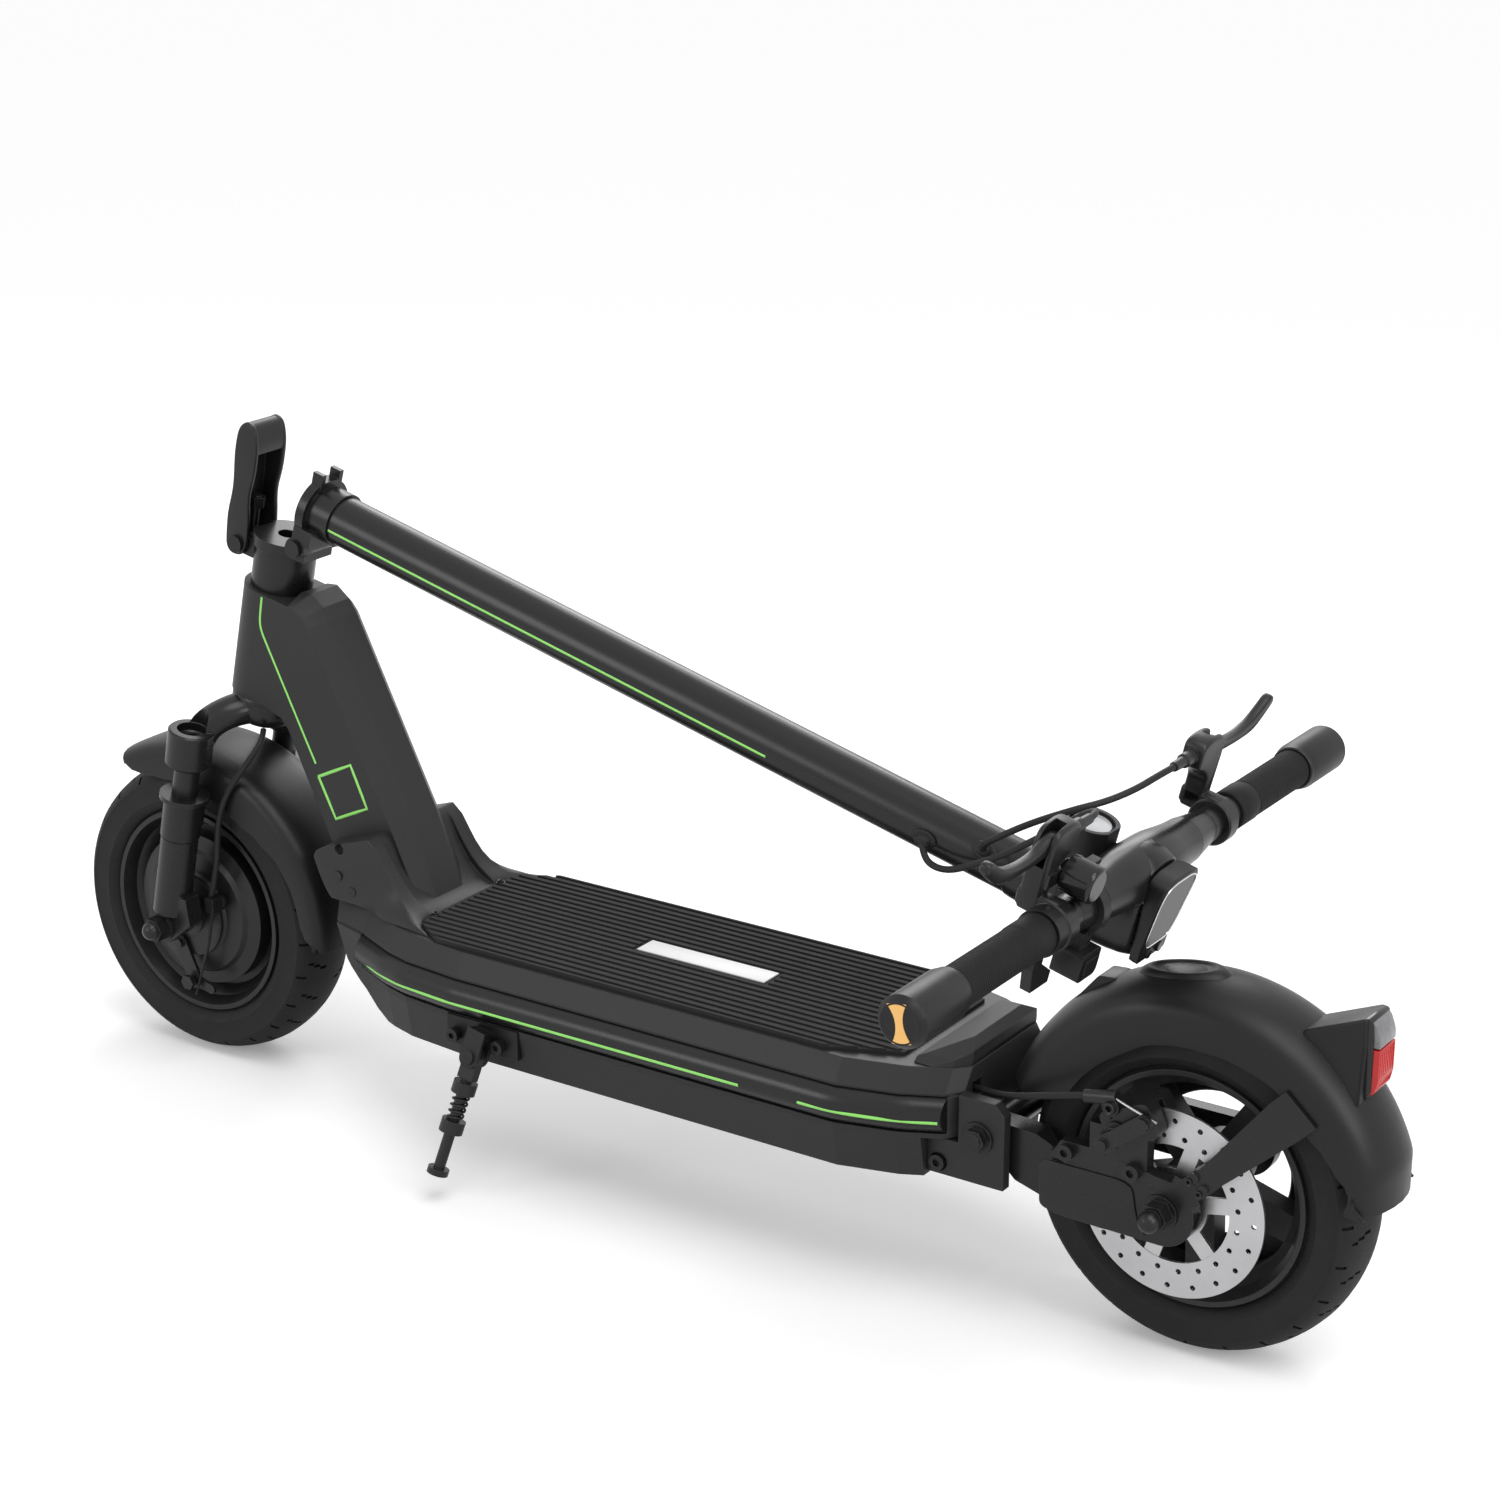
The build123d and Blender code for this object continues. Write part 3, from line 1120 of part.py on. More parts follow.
def rear_fender():
    ax, az = axle_xz
    shell = guard(rear_axle, guard_radius, guard_half, guard_skirt_radius, 34, 180
                  - degrees(acos(rear_overhang / guard_radius)))
    housing = prism_xz([(ax - 73, 246), (ax - 79, 254), (ax - 122, 273), (ax - 125, 228), (ax - 117, 209),
                        (ax - 104, 214)], -27, 27)
    housing -= disc_y(ax, az, guard_radius - guard_thickness / 2, -50, 50)
    catch = prism_xz([(ax + 112, 226), (ax + 83, 262), (ax + 72, 262), (ax + 90, 228)], -11, 11)
    catch -= disc_y(ax, az, guard_radius - guard_thickness / 2, -50, 50)
    return shell + housing + catch



def tail_light():
    ax = rear_axle.X
    lens = prism_xz([(ax - 122 - seat, 272.5), (ax - 134, 272), (ax - 137, 260), (ax - 131, 231),
                     (ax - 125 - seat, 228.5)], -26, 26)
    return fillet(lens.edges().filter_by(Axis.Y).group_by(Axis.X)[0], 2)


def fender_brace():
    """Flat stay from the end of the swingarm up and inwards to the side of the mudguard."""
    bx, bz = brace_foot
    y, y_top = arm_outer + seat, guard_half + seat
    sections = [(y, (-1.8, 13), (-17.8, 4)), (y_top, (-34.5, 56.5), (-57.5, 35.5)),
                (y_top, (-45.6, 68), (-68.6, 47))]
    faces = []
    for level, *pair in sections:
        ring = [(bx + x, level, bz + z) for x, z in pair] + [(bx + x, level + 3, bz + z) for x,
                                                             z in reversed(pair)]
        faces.append(make_face(Polyline(ring, close=True)))
    bar = loft(faces[:2], ruled=True) + loft(faces[1:], ruled=True)
    pad = [(-1.8, 13), (-17.8, 4), (-4.5, -9.5), (11.5, -0.5)]
    bar += prism_xz([(bx + x, bz + z) for x, z in pad], y, y + 3)
    for x, z in ((3.5, 3.5), (-3.5, -3.5)):
        bar += disc_y(bx + x, bz + z, 3.6, y + 2, y + 5)
    return bar


def bracket_screws():
    """Screws that hold the caliper bracket to the swingarm."""
    ax = rear_axle.X
    screws = []
    for x, z in ((ax + 72.5, arm_top + 8.5), (ax + 21.5, arm_top + 7)):
        screws.append(disc_y(x, z, 6, arm_outer + seat, arm_outer + 6)
                      - disc_y(x, z, 3, arm_outer + 3, arm_outer + 9))
    return screws


def frame_fasteners():
    px, pz = pivot_xz
    outer = bracket_inner + bracket_thick
    bolt_shaft = disc_y(px, pz, swing_pivot_radius, -outer - 9, outer + 9)
    head = disc_y(px, pz, 12, outer + seat, outer + 2)
    head += Pos(px, outer + 2, pz) * (Rot(-90, 0, 0) * extrude(RegularPolygon(9, 6), amount=6))
    washer = ring_y(px, pz, 11, swing_pivot_radius - 1, narrow_outer + seat, bracket_inner - seat)
    parts = [bolt_shaft + both(head) + both(washer)]
    socket = disc_y(px + 32, 116, 6, outer - 3.9, outer + 3) - disc_y(px + 32, 116, 3, outer, outer + 9)
    parts += both(socket)
    for x in (-18, 25):
        plate_screw = disc_y(stand_x + x, 125, 5.5, stand_plate_y + 5 + seat, stand_plate_y + 12)
        parts.append(plate_screw - disc_y(stand_x + x, 125, 2.5, stand_plate_y + 9, 200))
    for x, z in ((deck_front + 74, 207), (deck_front + 60, 196)):
        side_screw = disc_y(x, z, 4, casting_half + seat, casting_half + 1.5)
        parts += both(side_screw)
    return parts


keep("deck_tub", deck_tub())
keep("deck_cover", deck_cover())
keep("deck_mat", deck_mat())
keep("side_rails", both(side_rail()))
keep("battery_and_controller", battery_and_controller())
keep("neck_beam", neck_beam())
keep("base_cover", casting())
keep("frame_fasteners", frame_fasteners())
keep("headset_bearings", headset_rings())
keep("rear_block", rear_block())
keep("rear_brackets", both(rear_bracket()))
keep("kickstand_housing", kickstand_housing())
keep("kickstand_leg", kickstand_leg())
keep("kickstand_spring", kickstand_spring())
keep("swingarm", swingarm())
keep("rear_axle", rear_axle_rod())
keep("caliper_bracket", caliper_bracket(), bracket_screws())
keep("disc_caliper", disc_caliper())
keep("rear_fender", rear_fender())
keep("fender_braces", both(fender_brace()))
keep("tail_light", tail_light())
keep("caliper_arm", caliper_arm())
keep("rear_tyre", tyre(rear_axle))
keep("rear_rim", rear_rim())
keep("brake_rotor", brake_rotor())
keep("rear_bearings", rear_bearings())
keep("fork_crown", fork_crown())
keep("clamp_base", clamp_base())
keep("fold_hardware", fold_hardware())
keep("fork_stanchions", fork_stanchions())
keep("fork_lowers", fork_lowers())
keep("front_fender", front_fender())
keep("front_axle", front_axle_rod())
keep("motor_stator", motor_stator())
keep("brake_backplate", brake_backplate())
keep("drum_brake_arm", drum_brake_arm())
keep("front_tyre", tyre(front_axle))
keep("hub_motor", hub_motor())
keep("stem_tube", stem_tube())
keep("stem_hinge", stem_hinge())
keep("bar_head", bar_head())
keep("handlebar", handlebar())
keep("grips", grip())
keep("bar_end_lights", bar_cap())
keep("headlight", headlight())
keep("display", display())
keep("lever_brackets", lever_bracket(1), lever_bracket(-1))
keep("control_pod", control_pod())
keep("bell", bell())
keep("fold_lever", fold_lever())
keep("brake_lever_left", brake_lever(1))
keep("brake_lever_right", brake_lever(-1))
keep("throttle", throttle())
keep("signal_switch", signal_switch())
keep("display_button_left", display_button(1))
keep("display_button_right", display_button(-1))
keep("bell_striker", bell_striker())

# ---- cables ----
cable_radius, wire_radius = 2.5, 0.9
plug_height = 2.2


def plug_at(angle, along):
    """Rubber plug on the stem tube and the place just above it where a cable starts."""
    place = Pos(stem_x, 0, along) * Rot(0, 0, angle)
    plug = place * (Pos(stem_radius + seat, 0, 0) * (Rot(0, 90, 0) * Cylinder(6.5, plug_height, align=low)))
    out = stem_radius + plug_height + 1.8
    return at_stem(plug), (stem_x + out * cos(radians(angle)), out * sin(radians(angle)), along)


left_plug, left_end = plug_at(96, lever_z - 132)
right_plug, right_end = plug_at(61, lever_z - 86)
lever_barrel_y = lever_pivot[1] - 54.4
stem_cable_left = [(bar_x + 53, lever_barrel_y, lever_z), (bar_x + 52.5, 48, lever_z - 1),
                   (bar_x + 45.5, 38.5, lever_z - 10), (bar_x + 28.5, 37, lever_z - 25),
                   (bar_x + 6.5, 39, lever_z - 43), (bar_x - 14.5, 40, lever_z - 62),
                   (bar_x - 33.5, 38, lever_z - 82), (bar_x - 50.5, 33, lever_z - 102),
                   (bar_x - 55, 29.5, lever_z - 118), (bar_x - 50.5, 26.5, lever_z - 127.5), left_end]
stem_cable_right = [(bar_x + 53, -lever_barrel_y, lever_z), (bar_x + 51, -46, lever_z - 2),
                    (bar_x + 43, -26, lever_z - 8), (bar_x + 35, -5, lever_z - 18),
                    (bar_x + 27.5, 12, lever_z - 32),
                    (bar_x + 10.5, 25, lever_z - 54), (bar_x - 7.5, 31, lever_z - 72),
                    (bar_x - 20.5, 29.5, lever_z - 83.5), right_end]
keep("stem_cables", cable(stem_cable_left, cable_radius, stem), cable(stem_cable_right, cable_radius, stem),
     left_plug, right_plug)

# from the deck's cable opening to the caliper's ferrule
cable_start = Vector(deck_rear + 5, cable_exit_y, cable_exit_z)
reach = ferrule + Vector(1, 0, -0.2) - cable_start
bow = [(0.13, 0.3, -2.5), (0.3, 1.5, -4.5), (0.46, 1.5, -4), (0.64, 1, -2.5), (0.83, 0.5, -0.8)]
rear_route = [cable_start] + [cable_start + reach * t + Vector(0, y, z) for t, y, z in bow] + [cable_start
                                                                                               + reach]
wire_end = (caliper_arm_end[0] - 8, caliper_face + 3, caliper_arm_end[1] + 1)
rear_wire = rod(ferrule_end + Vector(-0.3, 2.2, 0), wire_end, wire_radius)
keep("rear_brake_cable", cable(rear_route, cable_radius), rear_wire)

# from the back of the fork crown down to the holder, then the bare wire to the drum's arm
crown_z = -head_bottom_drop - 23
holder_top = Vector(holder[0] + 1.5, plate_y + 9.6, holder[1] + 7.2)
holder_low = Vector(holder[0] + 2, plate_y + 9.6, holder[1] - 7)
from_steer = [(-18.8, 24, 0), (-24.5, 31, -4), (-24, 37, -13), (-17, 41.5, -31), (-7, 44, -53),
              (-0.5, 44.5, -76),
              (-0.5, 44, -100), (-4, 44, -128)]
front_route = [steer * Pos(x, y, crown_z + z) for x, y, z in from_steer]
front_route = [place.position for place in front_route] + [holder_top]
tail = Vector(drum_clamp[0] - 4.3, plate_y + 9.6, drum_clamp[1] - 12)
keep("front_brake_cable", cable(front_route, cable_radius), rod(holder_low, tail, wire_radius))

os.makedirs("parts", exist_ok=True)
for name, shape in nodes.items():
    export_step(shape, f"parts/{name}.step")
print(len(nodes), "nodes")
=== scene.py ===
import bpy
import bmesh
import json
import math
from mathutils import Vector, Matrix


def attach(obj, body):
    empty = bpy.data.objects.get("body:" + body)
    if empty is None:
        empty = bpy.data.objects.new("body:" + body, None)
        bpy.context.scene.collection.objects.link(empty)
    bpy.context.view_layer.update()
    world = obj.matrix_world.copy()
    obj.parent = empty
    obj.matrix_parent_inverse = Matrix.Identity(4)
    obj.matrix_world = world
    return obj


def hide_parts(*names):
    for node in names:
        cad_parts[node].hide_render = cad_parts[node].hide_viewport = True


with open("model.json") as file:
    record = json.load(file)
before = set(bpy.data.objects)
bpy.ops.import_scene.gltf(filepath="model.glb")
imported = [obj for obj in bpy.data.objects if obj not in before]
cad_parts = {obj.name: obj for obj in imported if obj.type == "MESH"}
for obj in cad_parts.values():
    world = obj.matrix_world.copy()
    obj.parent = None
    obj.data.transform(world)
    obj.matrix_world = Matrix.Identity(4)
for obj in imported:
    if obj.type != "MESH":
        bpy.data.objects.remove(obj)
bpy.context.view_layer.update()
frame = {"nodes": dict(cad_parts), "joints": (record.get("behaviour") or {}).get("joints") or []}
mm = 0.001      # pieces are set out in millimetres and degrees, the camera and lamps in metres

camera = {
    "place": (-1.32909, 1.879854, 1.152247),
    "turn": 213.814,
    "drop": 19.14,
    "lens": 78.06,
    "sensor": 36,
    "sight": 100,
}
bpy.ops.object.select_all(action="DESELECT")
cameraTurn = (math.radians(90 - camera["drop"]), 0, math.radians(camera["turn"]))
bpy.ops.object.camera_add(location=camera["place"], rotation=cameraTurn)
cameraObject = bpy.context.object
cameraObject.name = "camera"
cameraObject.data.lens = camera["lens"]
cameraObject.data.sensor_width = camera["sensor"]
cameraObject.data.clip_end = camera["sight"]
bpy.context.scene.camera = cameraObject

lampTarget = (0, 0, 0.2)
lamps = {
    "key": {"kind": "SUN", "place": (-0.9, 0.5, 2.6), "strength": 1.15, "spread": 38},
    "rim": {"kind": "AREA", "place": (0.9, -1.9, 1.7), "size": 1.5, "strength": 22},
    "tail": {"kind": "AREA", "place": (-2.3, 0.5, 1.3), "size": 1.1, "strength": 15},
    "nose": {"kind": "AREA", "place": (1.2, 2.2, 1.3), "size": 1.1, "strength": 12},
}
for lampName, lamp in lamps.items():
    bpy.ops.object.light_add(type=lamp["kind"], location=lamp["place"])
    lampObject = bpy.context.object
    lampObject.name = lampName + "Lamp"
    lampObject.data.energy = lamp["strength"]
    if lamp["kind"] == "SUN":
        lampObject.data.angle = math.radians(lamp["spread"])
    else:
        lampObject.data.shape = "DISK"
        lampObject.data.size = lamp["size"]
    aim = Vector(lampTarget) - Vector(lamp["place"])
    lampObject.rotation_euler = aim.to_track_quat("-Z", "Y").to_euler()

bpy.context.scene.view_settings.view_transform = "Standard"


def addNode(tree, kind, **values):
    node = tree.nodes.new(kind)
    for key, value in values.items():
        if hasattr(node, key):
            setattr(node, key, value)
        else:
            node.inputs[key.replace("_", " ")].default_value = value
    return node


# soft white world, plain white where the camera, a mirror or glass looks straight at it
studio = {"worldLight": 0.46, "worldSeen": 1.0, "floorTone": 0.95, "floorGlow": 0.22, "floorRadius": 30}
world = bpy.data.worlds.new("studio")
bpy.context.scene.world = world
world.use_nodes = True
worldTree = world.node_tree
link = worldTree.links.new
worldLight = worldTree.nodes["Background"]
worldLight.inputs["Color"].default_value = (1, 1, 1, 1)
worldLight.inputs["Strength"].default_value = studio["worldLight"]
worldSeen = addNode(worldTree, "ShaderNodeBackground", Color=(1, 1, 1, 1), Strength=studio["worldSeen"])
worldPath = addNode(worldTree, "ShaderNodeLightPath")
seenOrMirrored = addNode(worldTree, "ShaderNodeMath", operation="ADD")
anySeen = addNode(worldTree, "ShaderNodeMath", operation="ADD", use_clamp=True)
worldMix = addNode(worldTree, "ShaderNodeMixShader")
link(worldPath.outputs["Is Camera Ray"], seenOrMirrored.inputs[0])
link(worldPath.outputs["Is Glossy Ray"], seenOrMirrored.inputs[1])
link(seenOrMirrored.outputs[0], anySeen.inputs[0])
link(worldPath.outputs["Is Transmission Ray"], anySeen.inputs[1])
link(anySeen.outputs[0], worldMix.inputs[0])
link(worldLight.outputs[0], worldMix.inputs[1])
link(worldSeen.outputs[0], worldMix.inputs[2])
link(worldMix.outputs[0], worldTree.nodes["World Output"].inputs["Surface"])

bpy.ops.mesh.primitive_circle_add(vertices=96, radius=studio["floorRadius"], fill_type="NGON", location=(0, 0, 0))
floor = bpy.context.object
floor.name = "floor"
floorPaint = bpy.data.materials.new("paleFloor")
floorPaint.use_nodes = True
floorTree = floorPaint.node_tree
floorShader = floorTree.nodes["Principled BSDF"]
floorShader.inputs["Base Color"].default_value = (studio["floorTone"],) * 3 + (1,)
floorShader.inputs["Roughness"].default_value = 1
floorShader.inputs["Specular IOR Level"].default_value = 0
floorShader.inputs["Emission Color"].default_value = (1, 1, 1, 1)
floorPath = addNode(floorTree, "ShaderNodeLightPath")
floorGlow = addNode(floorTree, "ShaderNodeMath", operation="MULTIPLY")
floorGlow.inputs[1].default_value = studio["floorGlow"]
floorTree.links.new(floorPath.outputs["Is Camera Ray"], floorGlow.inputs[0])
floorTree.links.new(floorGlow.outputs[0], floorShader.inputs["Emission Strength"])
floor.data.materials.append(floorPaint)
print("camera, lamps and floor ready")

# finishes, one to a row: three colours, the third a lighter edge colour that is painted highlight and wear,
# roughness and its spread, scale and height of the grain, scale of the drift in tone, radius of the corners,
# metal and specular level
finishColumns = ("colour", "second", "edge", "rough", "roughVary", "grain", "bump", "drift", "edgeRound", "metal",
                 "shine")
finishes = {
    "frameGrey": ((0.020, 0.020, 0.0205), (0.026, 0.026, 0.0265), (0.075, 0.075, 0.077),
                  0.44, 0.06, 1500, 0.1, 9, 1.6, 0, 0.26),
    "rimGrey": ((0.022, 0.022, 0.0225), (0.032, 0.032, 0.033), (0.09, 0.09, 0.09),
                0.4, 0.08, 1300, 0.12, 20, 1.0, 0, 0.3),
    "screenGlass": ((0.012, 0.012, 0.013), (0.016, 0.016, 0.017), (0.03, 0.03, 0.03),
                    0.2, 0.03, 300, 0.01, 20, 0.3, 0, 0.15),
    "frostedLens": ((0.55, 0.56, 0.57), (0.7, 0.71, 0.72), (0.85, 0.85, 0.85), 0.12, 0.05, 320, 0.25, 90, 0.3, 0, 0.5),
    "satinBlack": ((0.0085, 0.0085, 0.009), (0.012, 0.012, 0.0125), (0.075, 0.075, 0.077),
                   0.28, 0.05, 900, 0.05, 9, 0.8, 0, 0.34),
    "mouldedBlack": ((0.0075, 0.0075, 0.0078), (0.011, 0.011, 0.0112), (0.06, 0.06, 0.06),
                     0.39, 0.08, 1600, 0.16, 14, 0.7, 0, 0.29),
    "glossBlack": ((0.010, 0.010, 0.011), (0.013, 0.013, 0.014), (0.03, 0.03, 0.03),
                   0.12, 0.05, 300, 0.01, 20, 0.5, 0, 0.4),
    "matRubber": ((0.022, 0.022, 0.0225), (0.028, 0.028, 0.0285), (0.07, 0.07, 0.07),
                  0.72, 0.08, 1400, 0.25, 12, 0.5, 0, 0.15),
    "gripRubber": ((0.009, 0.009, 0.0095), (0.013, 0.013, 0.0135), (0.05, 0.05, 0.05),
                   0.66, 0.08, 1500, 0.2, 15, 0.4, 0, 0.18),
    "cableRubber": ((0.014, 0.014, 0.014), (0.019, 0.019, 0.019), (0.04, 0.04, 0.04),
                    0.5, 0.1, 1800, 0.12, 25, 0.3, 0, 0.22),
    "tyreRubber": ((0.008, 0.008, 0.0083), (0.012, 0.012, 0.0125), (0.045, 0.045, 0.045),
                   0.7, 0.1, 700, 0.8, 18, 0.6, 0, 0.3),
    "blackAlloy": ((0.008, 0.008, 0.0085), (0.013, 0.013, 0.0135), (0.10, 0.10, 0.10),
                   0.34, 0.1, 1200, 0.12, 20, 0.5, 0, 0.36),
    "blackSteel": ((0.014, 0.014, 0.015), (0.022, 0.022, 0.022), (0.16, 0.16, 0.16),
                   0.34, 0.12, 1600, 0.1, 40, 0.4, 0.5, 0.5),
    "steel": ((0.48, 0.48, 0.49), (0.60, 0.60, 0.61), (0.7, 0.7, 0.7), 0.34, 0.14, 1600, 0.1, 30, 0.3, 1, 0.5),
    "chrome": ((0.75, 0.75, 0.76), (0.82, 0.82, 0.83), (0.9, 0.9, 0.9), 0.12, 0.05, 800, 0.02, 20, 0.3, 1, 0.5),
    "statorIron": ((0.12, 0.12, 0.13), (0.20, 0.17, 0.15), (0.3, 0.3, 0.3), 0.45, 0.15, 900, 0.2, 40, 0.3, 0.9, 0.5),
    "redLens": ((0.42, 0.006, 0.005), (0.56, 0.012, 0.009), (0.75, 0.1, 0.08), 0.1, 0.05, 260, 0.15, 60, 0.4, 0, 0.5),
    "amberLens": ((0.92, 0.46, 0.10), (0.98, 0.60, 0.22), (0.98, 0.7, 0.35), 0.18, 0.05, 400, 0.1, 60, 0.3, 0, 0.5),
    "clearLens": ((0.10, 0.10, 0.105), (0.26, 0.26, 0.27), (0.5, 0.5, 0.5), 0.08, 0.04, 320, 0.2, 140, 0.3, 0, 0.5),
    "limeStripe": ((0.26, 0.72, 0.13), (0.32, 0.80, 0.17), (0.45, 0.9, 0.3), 0.35, 0.06, 1500, 0.04, 30, 0.1, 0, 0.5),
    "whitePlate": ((0.80, 0.80, 0.80), (0.86, 0.86, 0.86), (0.92, 0.92, 0.92), 0.4, 0.06, 1500, 0.05, 20, 0.3, 0, 0.5),
}
# where rounded corners take the lighter edge colour (painted highlight and wear), its patches, gloss smudges and grain
# depth
wearAndHighlight = {"sharp": 0.985, "edgeWearAndHighlight": 0.80, "patch": 12, "smudge": 3, "grainDepth": 0.0004}


def mixColour(tree, factor, first, second):
    node = addNode(tree, "ShaderNodeMix", data_type="RGBA")
    tree.links.new(factor, node.inputs[0])
    for socket, value in ((node.inputs[6], first), (node.inputs[7], second)):
        if isinstance(value, tuple):
            socket.default_value = value + (1,)
        else:
            tree.links.new(value, socket)
    return node.outputs[2]


def makeFinish(name, look):
    paint = bpy.data.materials.new(name)
    paint.use_nodes = True
    tree = paint.node_tree
    link = tree.links.new
    shader = tree.nodes["Principled BSDF"]
    shader.inputs["Metallic"].default_value = look["metal"]
    shader.inputs["Specular IOR Level"].default_value = look["shine"]
    where = addNode(tree, "ShaderNodeTexCoord").outputs["Object"]

    # slow drift of tone over the surface
    drift = addNode(tree, "ShaderNodeTexNoise", Scale=look["drift"], Detail=5.0, Roughness=0.6)
    link(where, drift.inputs["Vector"])
    tone = mixColour(tree, drift.outputs["Fac"], look["colour"], look["second"])

    # rounded corners take the lighter edge colour: a painted highlight where they would catch the light, together with
    # wear
    bevelled = addNode(tree, "ShaderNodeBevel", samples=4, Radius=look["edgeRound"] * mm)
    flat = addNode(tree, "ShaderNodeNewGeometry")
    alike = addNode(tree, "ShaderNodeVectorMath", operation="DOT_PRODUCT")
    link(bevelled.outputs["Normal"], alike.inputs[0])
    link(flat.outputs["Normal"], alike.inputs[1])
    corner = addNode(tree, "ShaderNodeMapRange", clamp=True, From_Min=wearAndHighlight["sharp"], From_Max=wearAndHighlight["edgeWearAndHighlight"])
    link(alike.outputs["Value"], corner.inputs["Value"])
    patch = addNode(tree, "ShaderNodeTexNoise", Scale=look["drift"] * wearAndHighlight["patch"], Detail=3.0)
    link(where, patch.inputs["Vector"])
    # mask of the painted edge highlight and wear, broken into patches
    edgeWearAndHighlight = addNode(tree, "ShaderNodeMath", operation="MULTIPLY")
    link(corner.outputs["Result"], edgeWearAndHighlight.inputs[0])
    link(patch.outputs["Fac"], edgeWearAndHighlight.inputs[1])
    # the painted edge highlight and wear mixed into the colour
    colour = mixColour(tree, edgeWearAndHighlight.outputs[0], tone, look["edge"])
    link(colour, shader.inputs["Base Color"])

    # grain
    grain = addNode(tree, "ShaderNodeTexNoise", Scale=look["grain"], Detail=2.0)
    link(where, grain.inputs["Vector"])
    bump = addNode(tree, "ShaderNodeBump", Strength=look["bump"], Distance=wearAndHighlight["grainDepth"])
    link(grain.outputs["Fac"], bump.inputs["Height"])
    link(bevelled.outputs["Normal"], bump.inputs["Normal"])
    link(bump.outputs["Normal"], shader.inputs["Normal"])

    # smudged gloss
    rough = addNode(tree, "ShaderNodeMapRange", clamp=True, To_Min=look["rough"] - look["roughVary"],
                    To_Max=look["rough"] + look["roughVary"])
    smudge = addNode(tree, "ShaderNodeTexNoise", Scale=look["drift"] * wearAndHighlight["smudge"], Detail=6.0, Roughness=0.7)
    link(where, smudge.inputs["Vector"])
    link(smudge.outputs["Fac"], rough.inputs["Value"])
    link(rough.outputs["Result"], shader.inputs["Roughness"])
    return paint


paints = {name: makeFinish(name, dict(zip(finishColumns, row))) for name, row in finishes.items()}

cadFinishes = {
    "frameGrey": ["deck_tub", "deck_cover", "neck_beam", "base_cover", "rear_block", "rear_brackets"],
    "rimGrey": ["rear_rim"],
    "satinBlack": ["side_rails", "swingarm", "fork_crown", "clamp_base", "fork_lowers", "stem_tube", "stem_hinge",
                   "bar_head", "handlebar", "fender_braces"],
    "mouldedBlack": ["rear_fender", "front_fender", "kickstand_housing", "control_pod", "headlight", "throttle",
                     "signal_switch", "bell_striker"],
    "glossBlack": ["bell", "display", "display_button_left", "display_button_right"],
    "matRubber": ["deck_mat"],
    "gripRubber": ["grips"],
    "cableRubber": ["rear_brake_cable", "front_brake_cable", "stem_cables"],
    "tyreRubber": ["rear_tyre", "front_tyre"],
    "blackAlloy": ["hub_motor", "brake_backplate", "disc_caliper", "caliper_bracket", "caliper_arm", "fold_lever",
                   "brake_lever_left", "brake_lever_right", "lever_brackets", "fork_stanchions", "drum_brake_arm",
                   "kickstand_leg", "bar_end_lights"],
    "blackSteel": ["frame_fasteners", "kickstand_spring", "fold_hardware", "rear_axle", "front_axle"],
    "steel": ["headset_bearings", "rear_bearings", "brake_rotor"],
    "statorIron": ["motor_stator", "battery_and_controller"],
    "redLens": ["tail_light"],
}
given = {nodeName: finishName for finishName, nodeNames in cadFinishes.items() for nodeName in nodeNames}
for nodeName, node in frame["nodes"].items():
    if nodeName not in given:
        print("no finish listed for", nodeName)
    paint = paints[given.get(nodeName, "mouldedBlack")]
    if not node.material_slots:
        node.data.materials.append(paint)
    for slot in node.material_slots:
        slot.material = paint
print("finishes on the frame")

# where the turning parts stand, with the lean each was drawn without
joints = {joint["name"]: joint for joint in frame["joints"]}


def jointPlace(name, lean=0):
    return Matrix.Translation(joints[name]["pos_m"]) @ Matrix.Rotation(math.radians(-lean), 4, "Y")


steerPlace = jointPlace("steering", 12.0)
stemPlace = jointPlace("stem_fold", 104.7)
rearPlace = jointPlace("rear_wheel_spin")
frontPlace = jointPlace("front_wheel_spin")
rearX = joints["rear_wheel_spin"]["pos_m"][0] / mm


def only(piece):
    if bpy.context.object and bpy.context.object.mode == "EDIT":
        bpy.ops.object.mode_set(mode="OBJECT")
    bpy.ops.object.select_all(action="DESELECT")
    piece.select_set(True)
    bpy.context.view_layer.objects.active = piece


def edit(piece):
    only(piece)
    bpy.ops.object.mode_set(mode="EDIT")


def faceOutwards():
    # all faces of the piece in edit mode, which is then left
    bpy.ops.mesh.select_all(action="SELECT")
    bpy.ops.mesh.normals_make_consistent(inside=False)
    bpy.ops.object.mode_set(mode="OBJECT")


def trace(name, points, closed=True):
    # one point is drawn out along the outline
    bpy.ops.object.select_all(action="DESELECT")
    bpy.ops.mesh.primitive_plane_add(size=0.01)
    piece = bpy.context.object
    piece.name = name
    bpy.ops.object.mode_set(mode="EDIT")
    bpy.ops.mesh.select_mode(type="VERT")
    bpy.ops.mesh.select_all(action="SELECT")
    bpy.ops.mesh.merge(type="CENTER")
    bpy.ops.transform.translate(value=Vector(points[0]) * mm)
    for before, after in zip(points, points[1:]):
        step = (Vector(after) - Vector(before)) * mm
        bpy.ops.mesh.extrude_region_move(TRANSFORM_OT_translate={"value": step})
    bpy.ops.mesh.select_all(action="SELECT")
    if closed:
        bpy.ops.mesh.edge_face_add()
    return piece


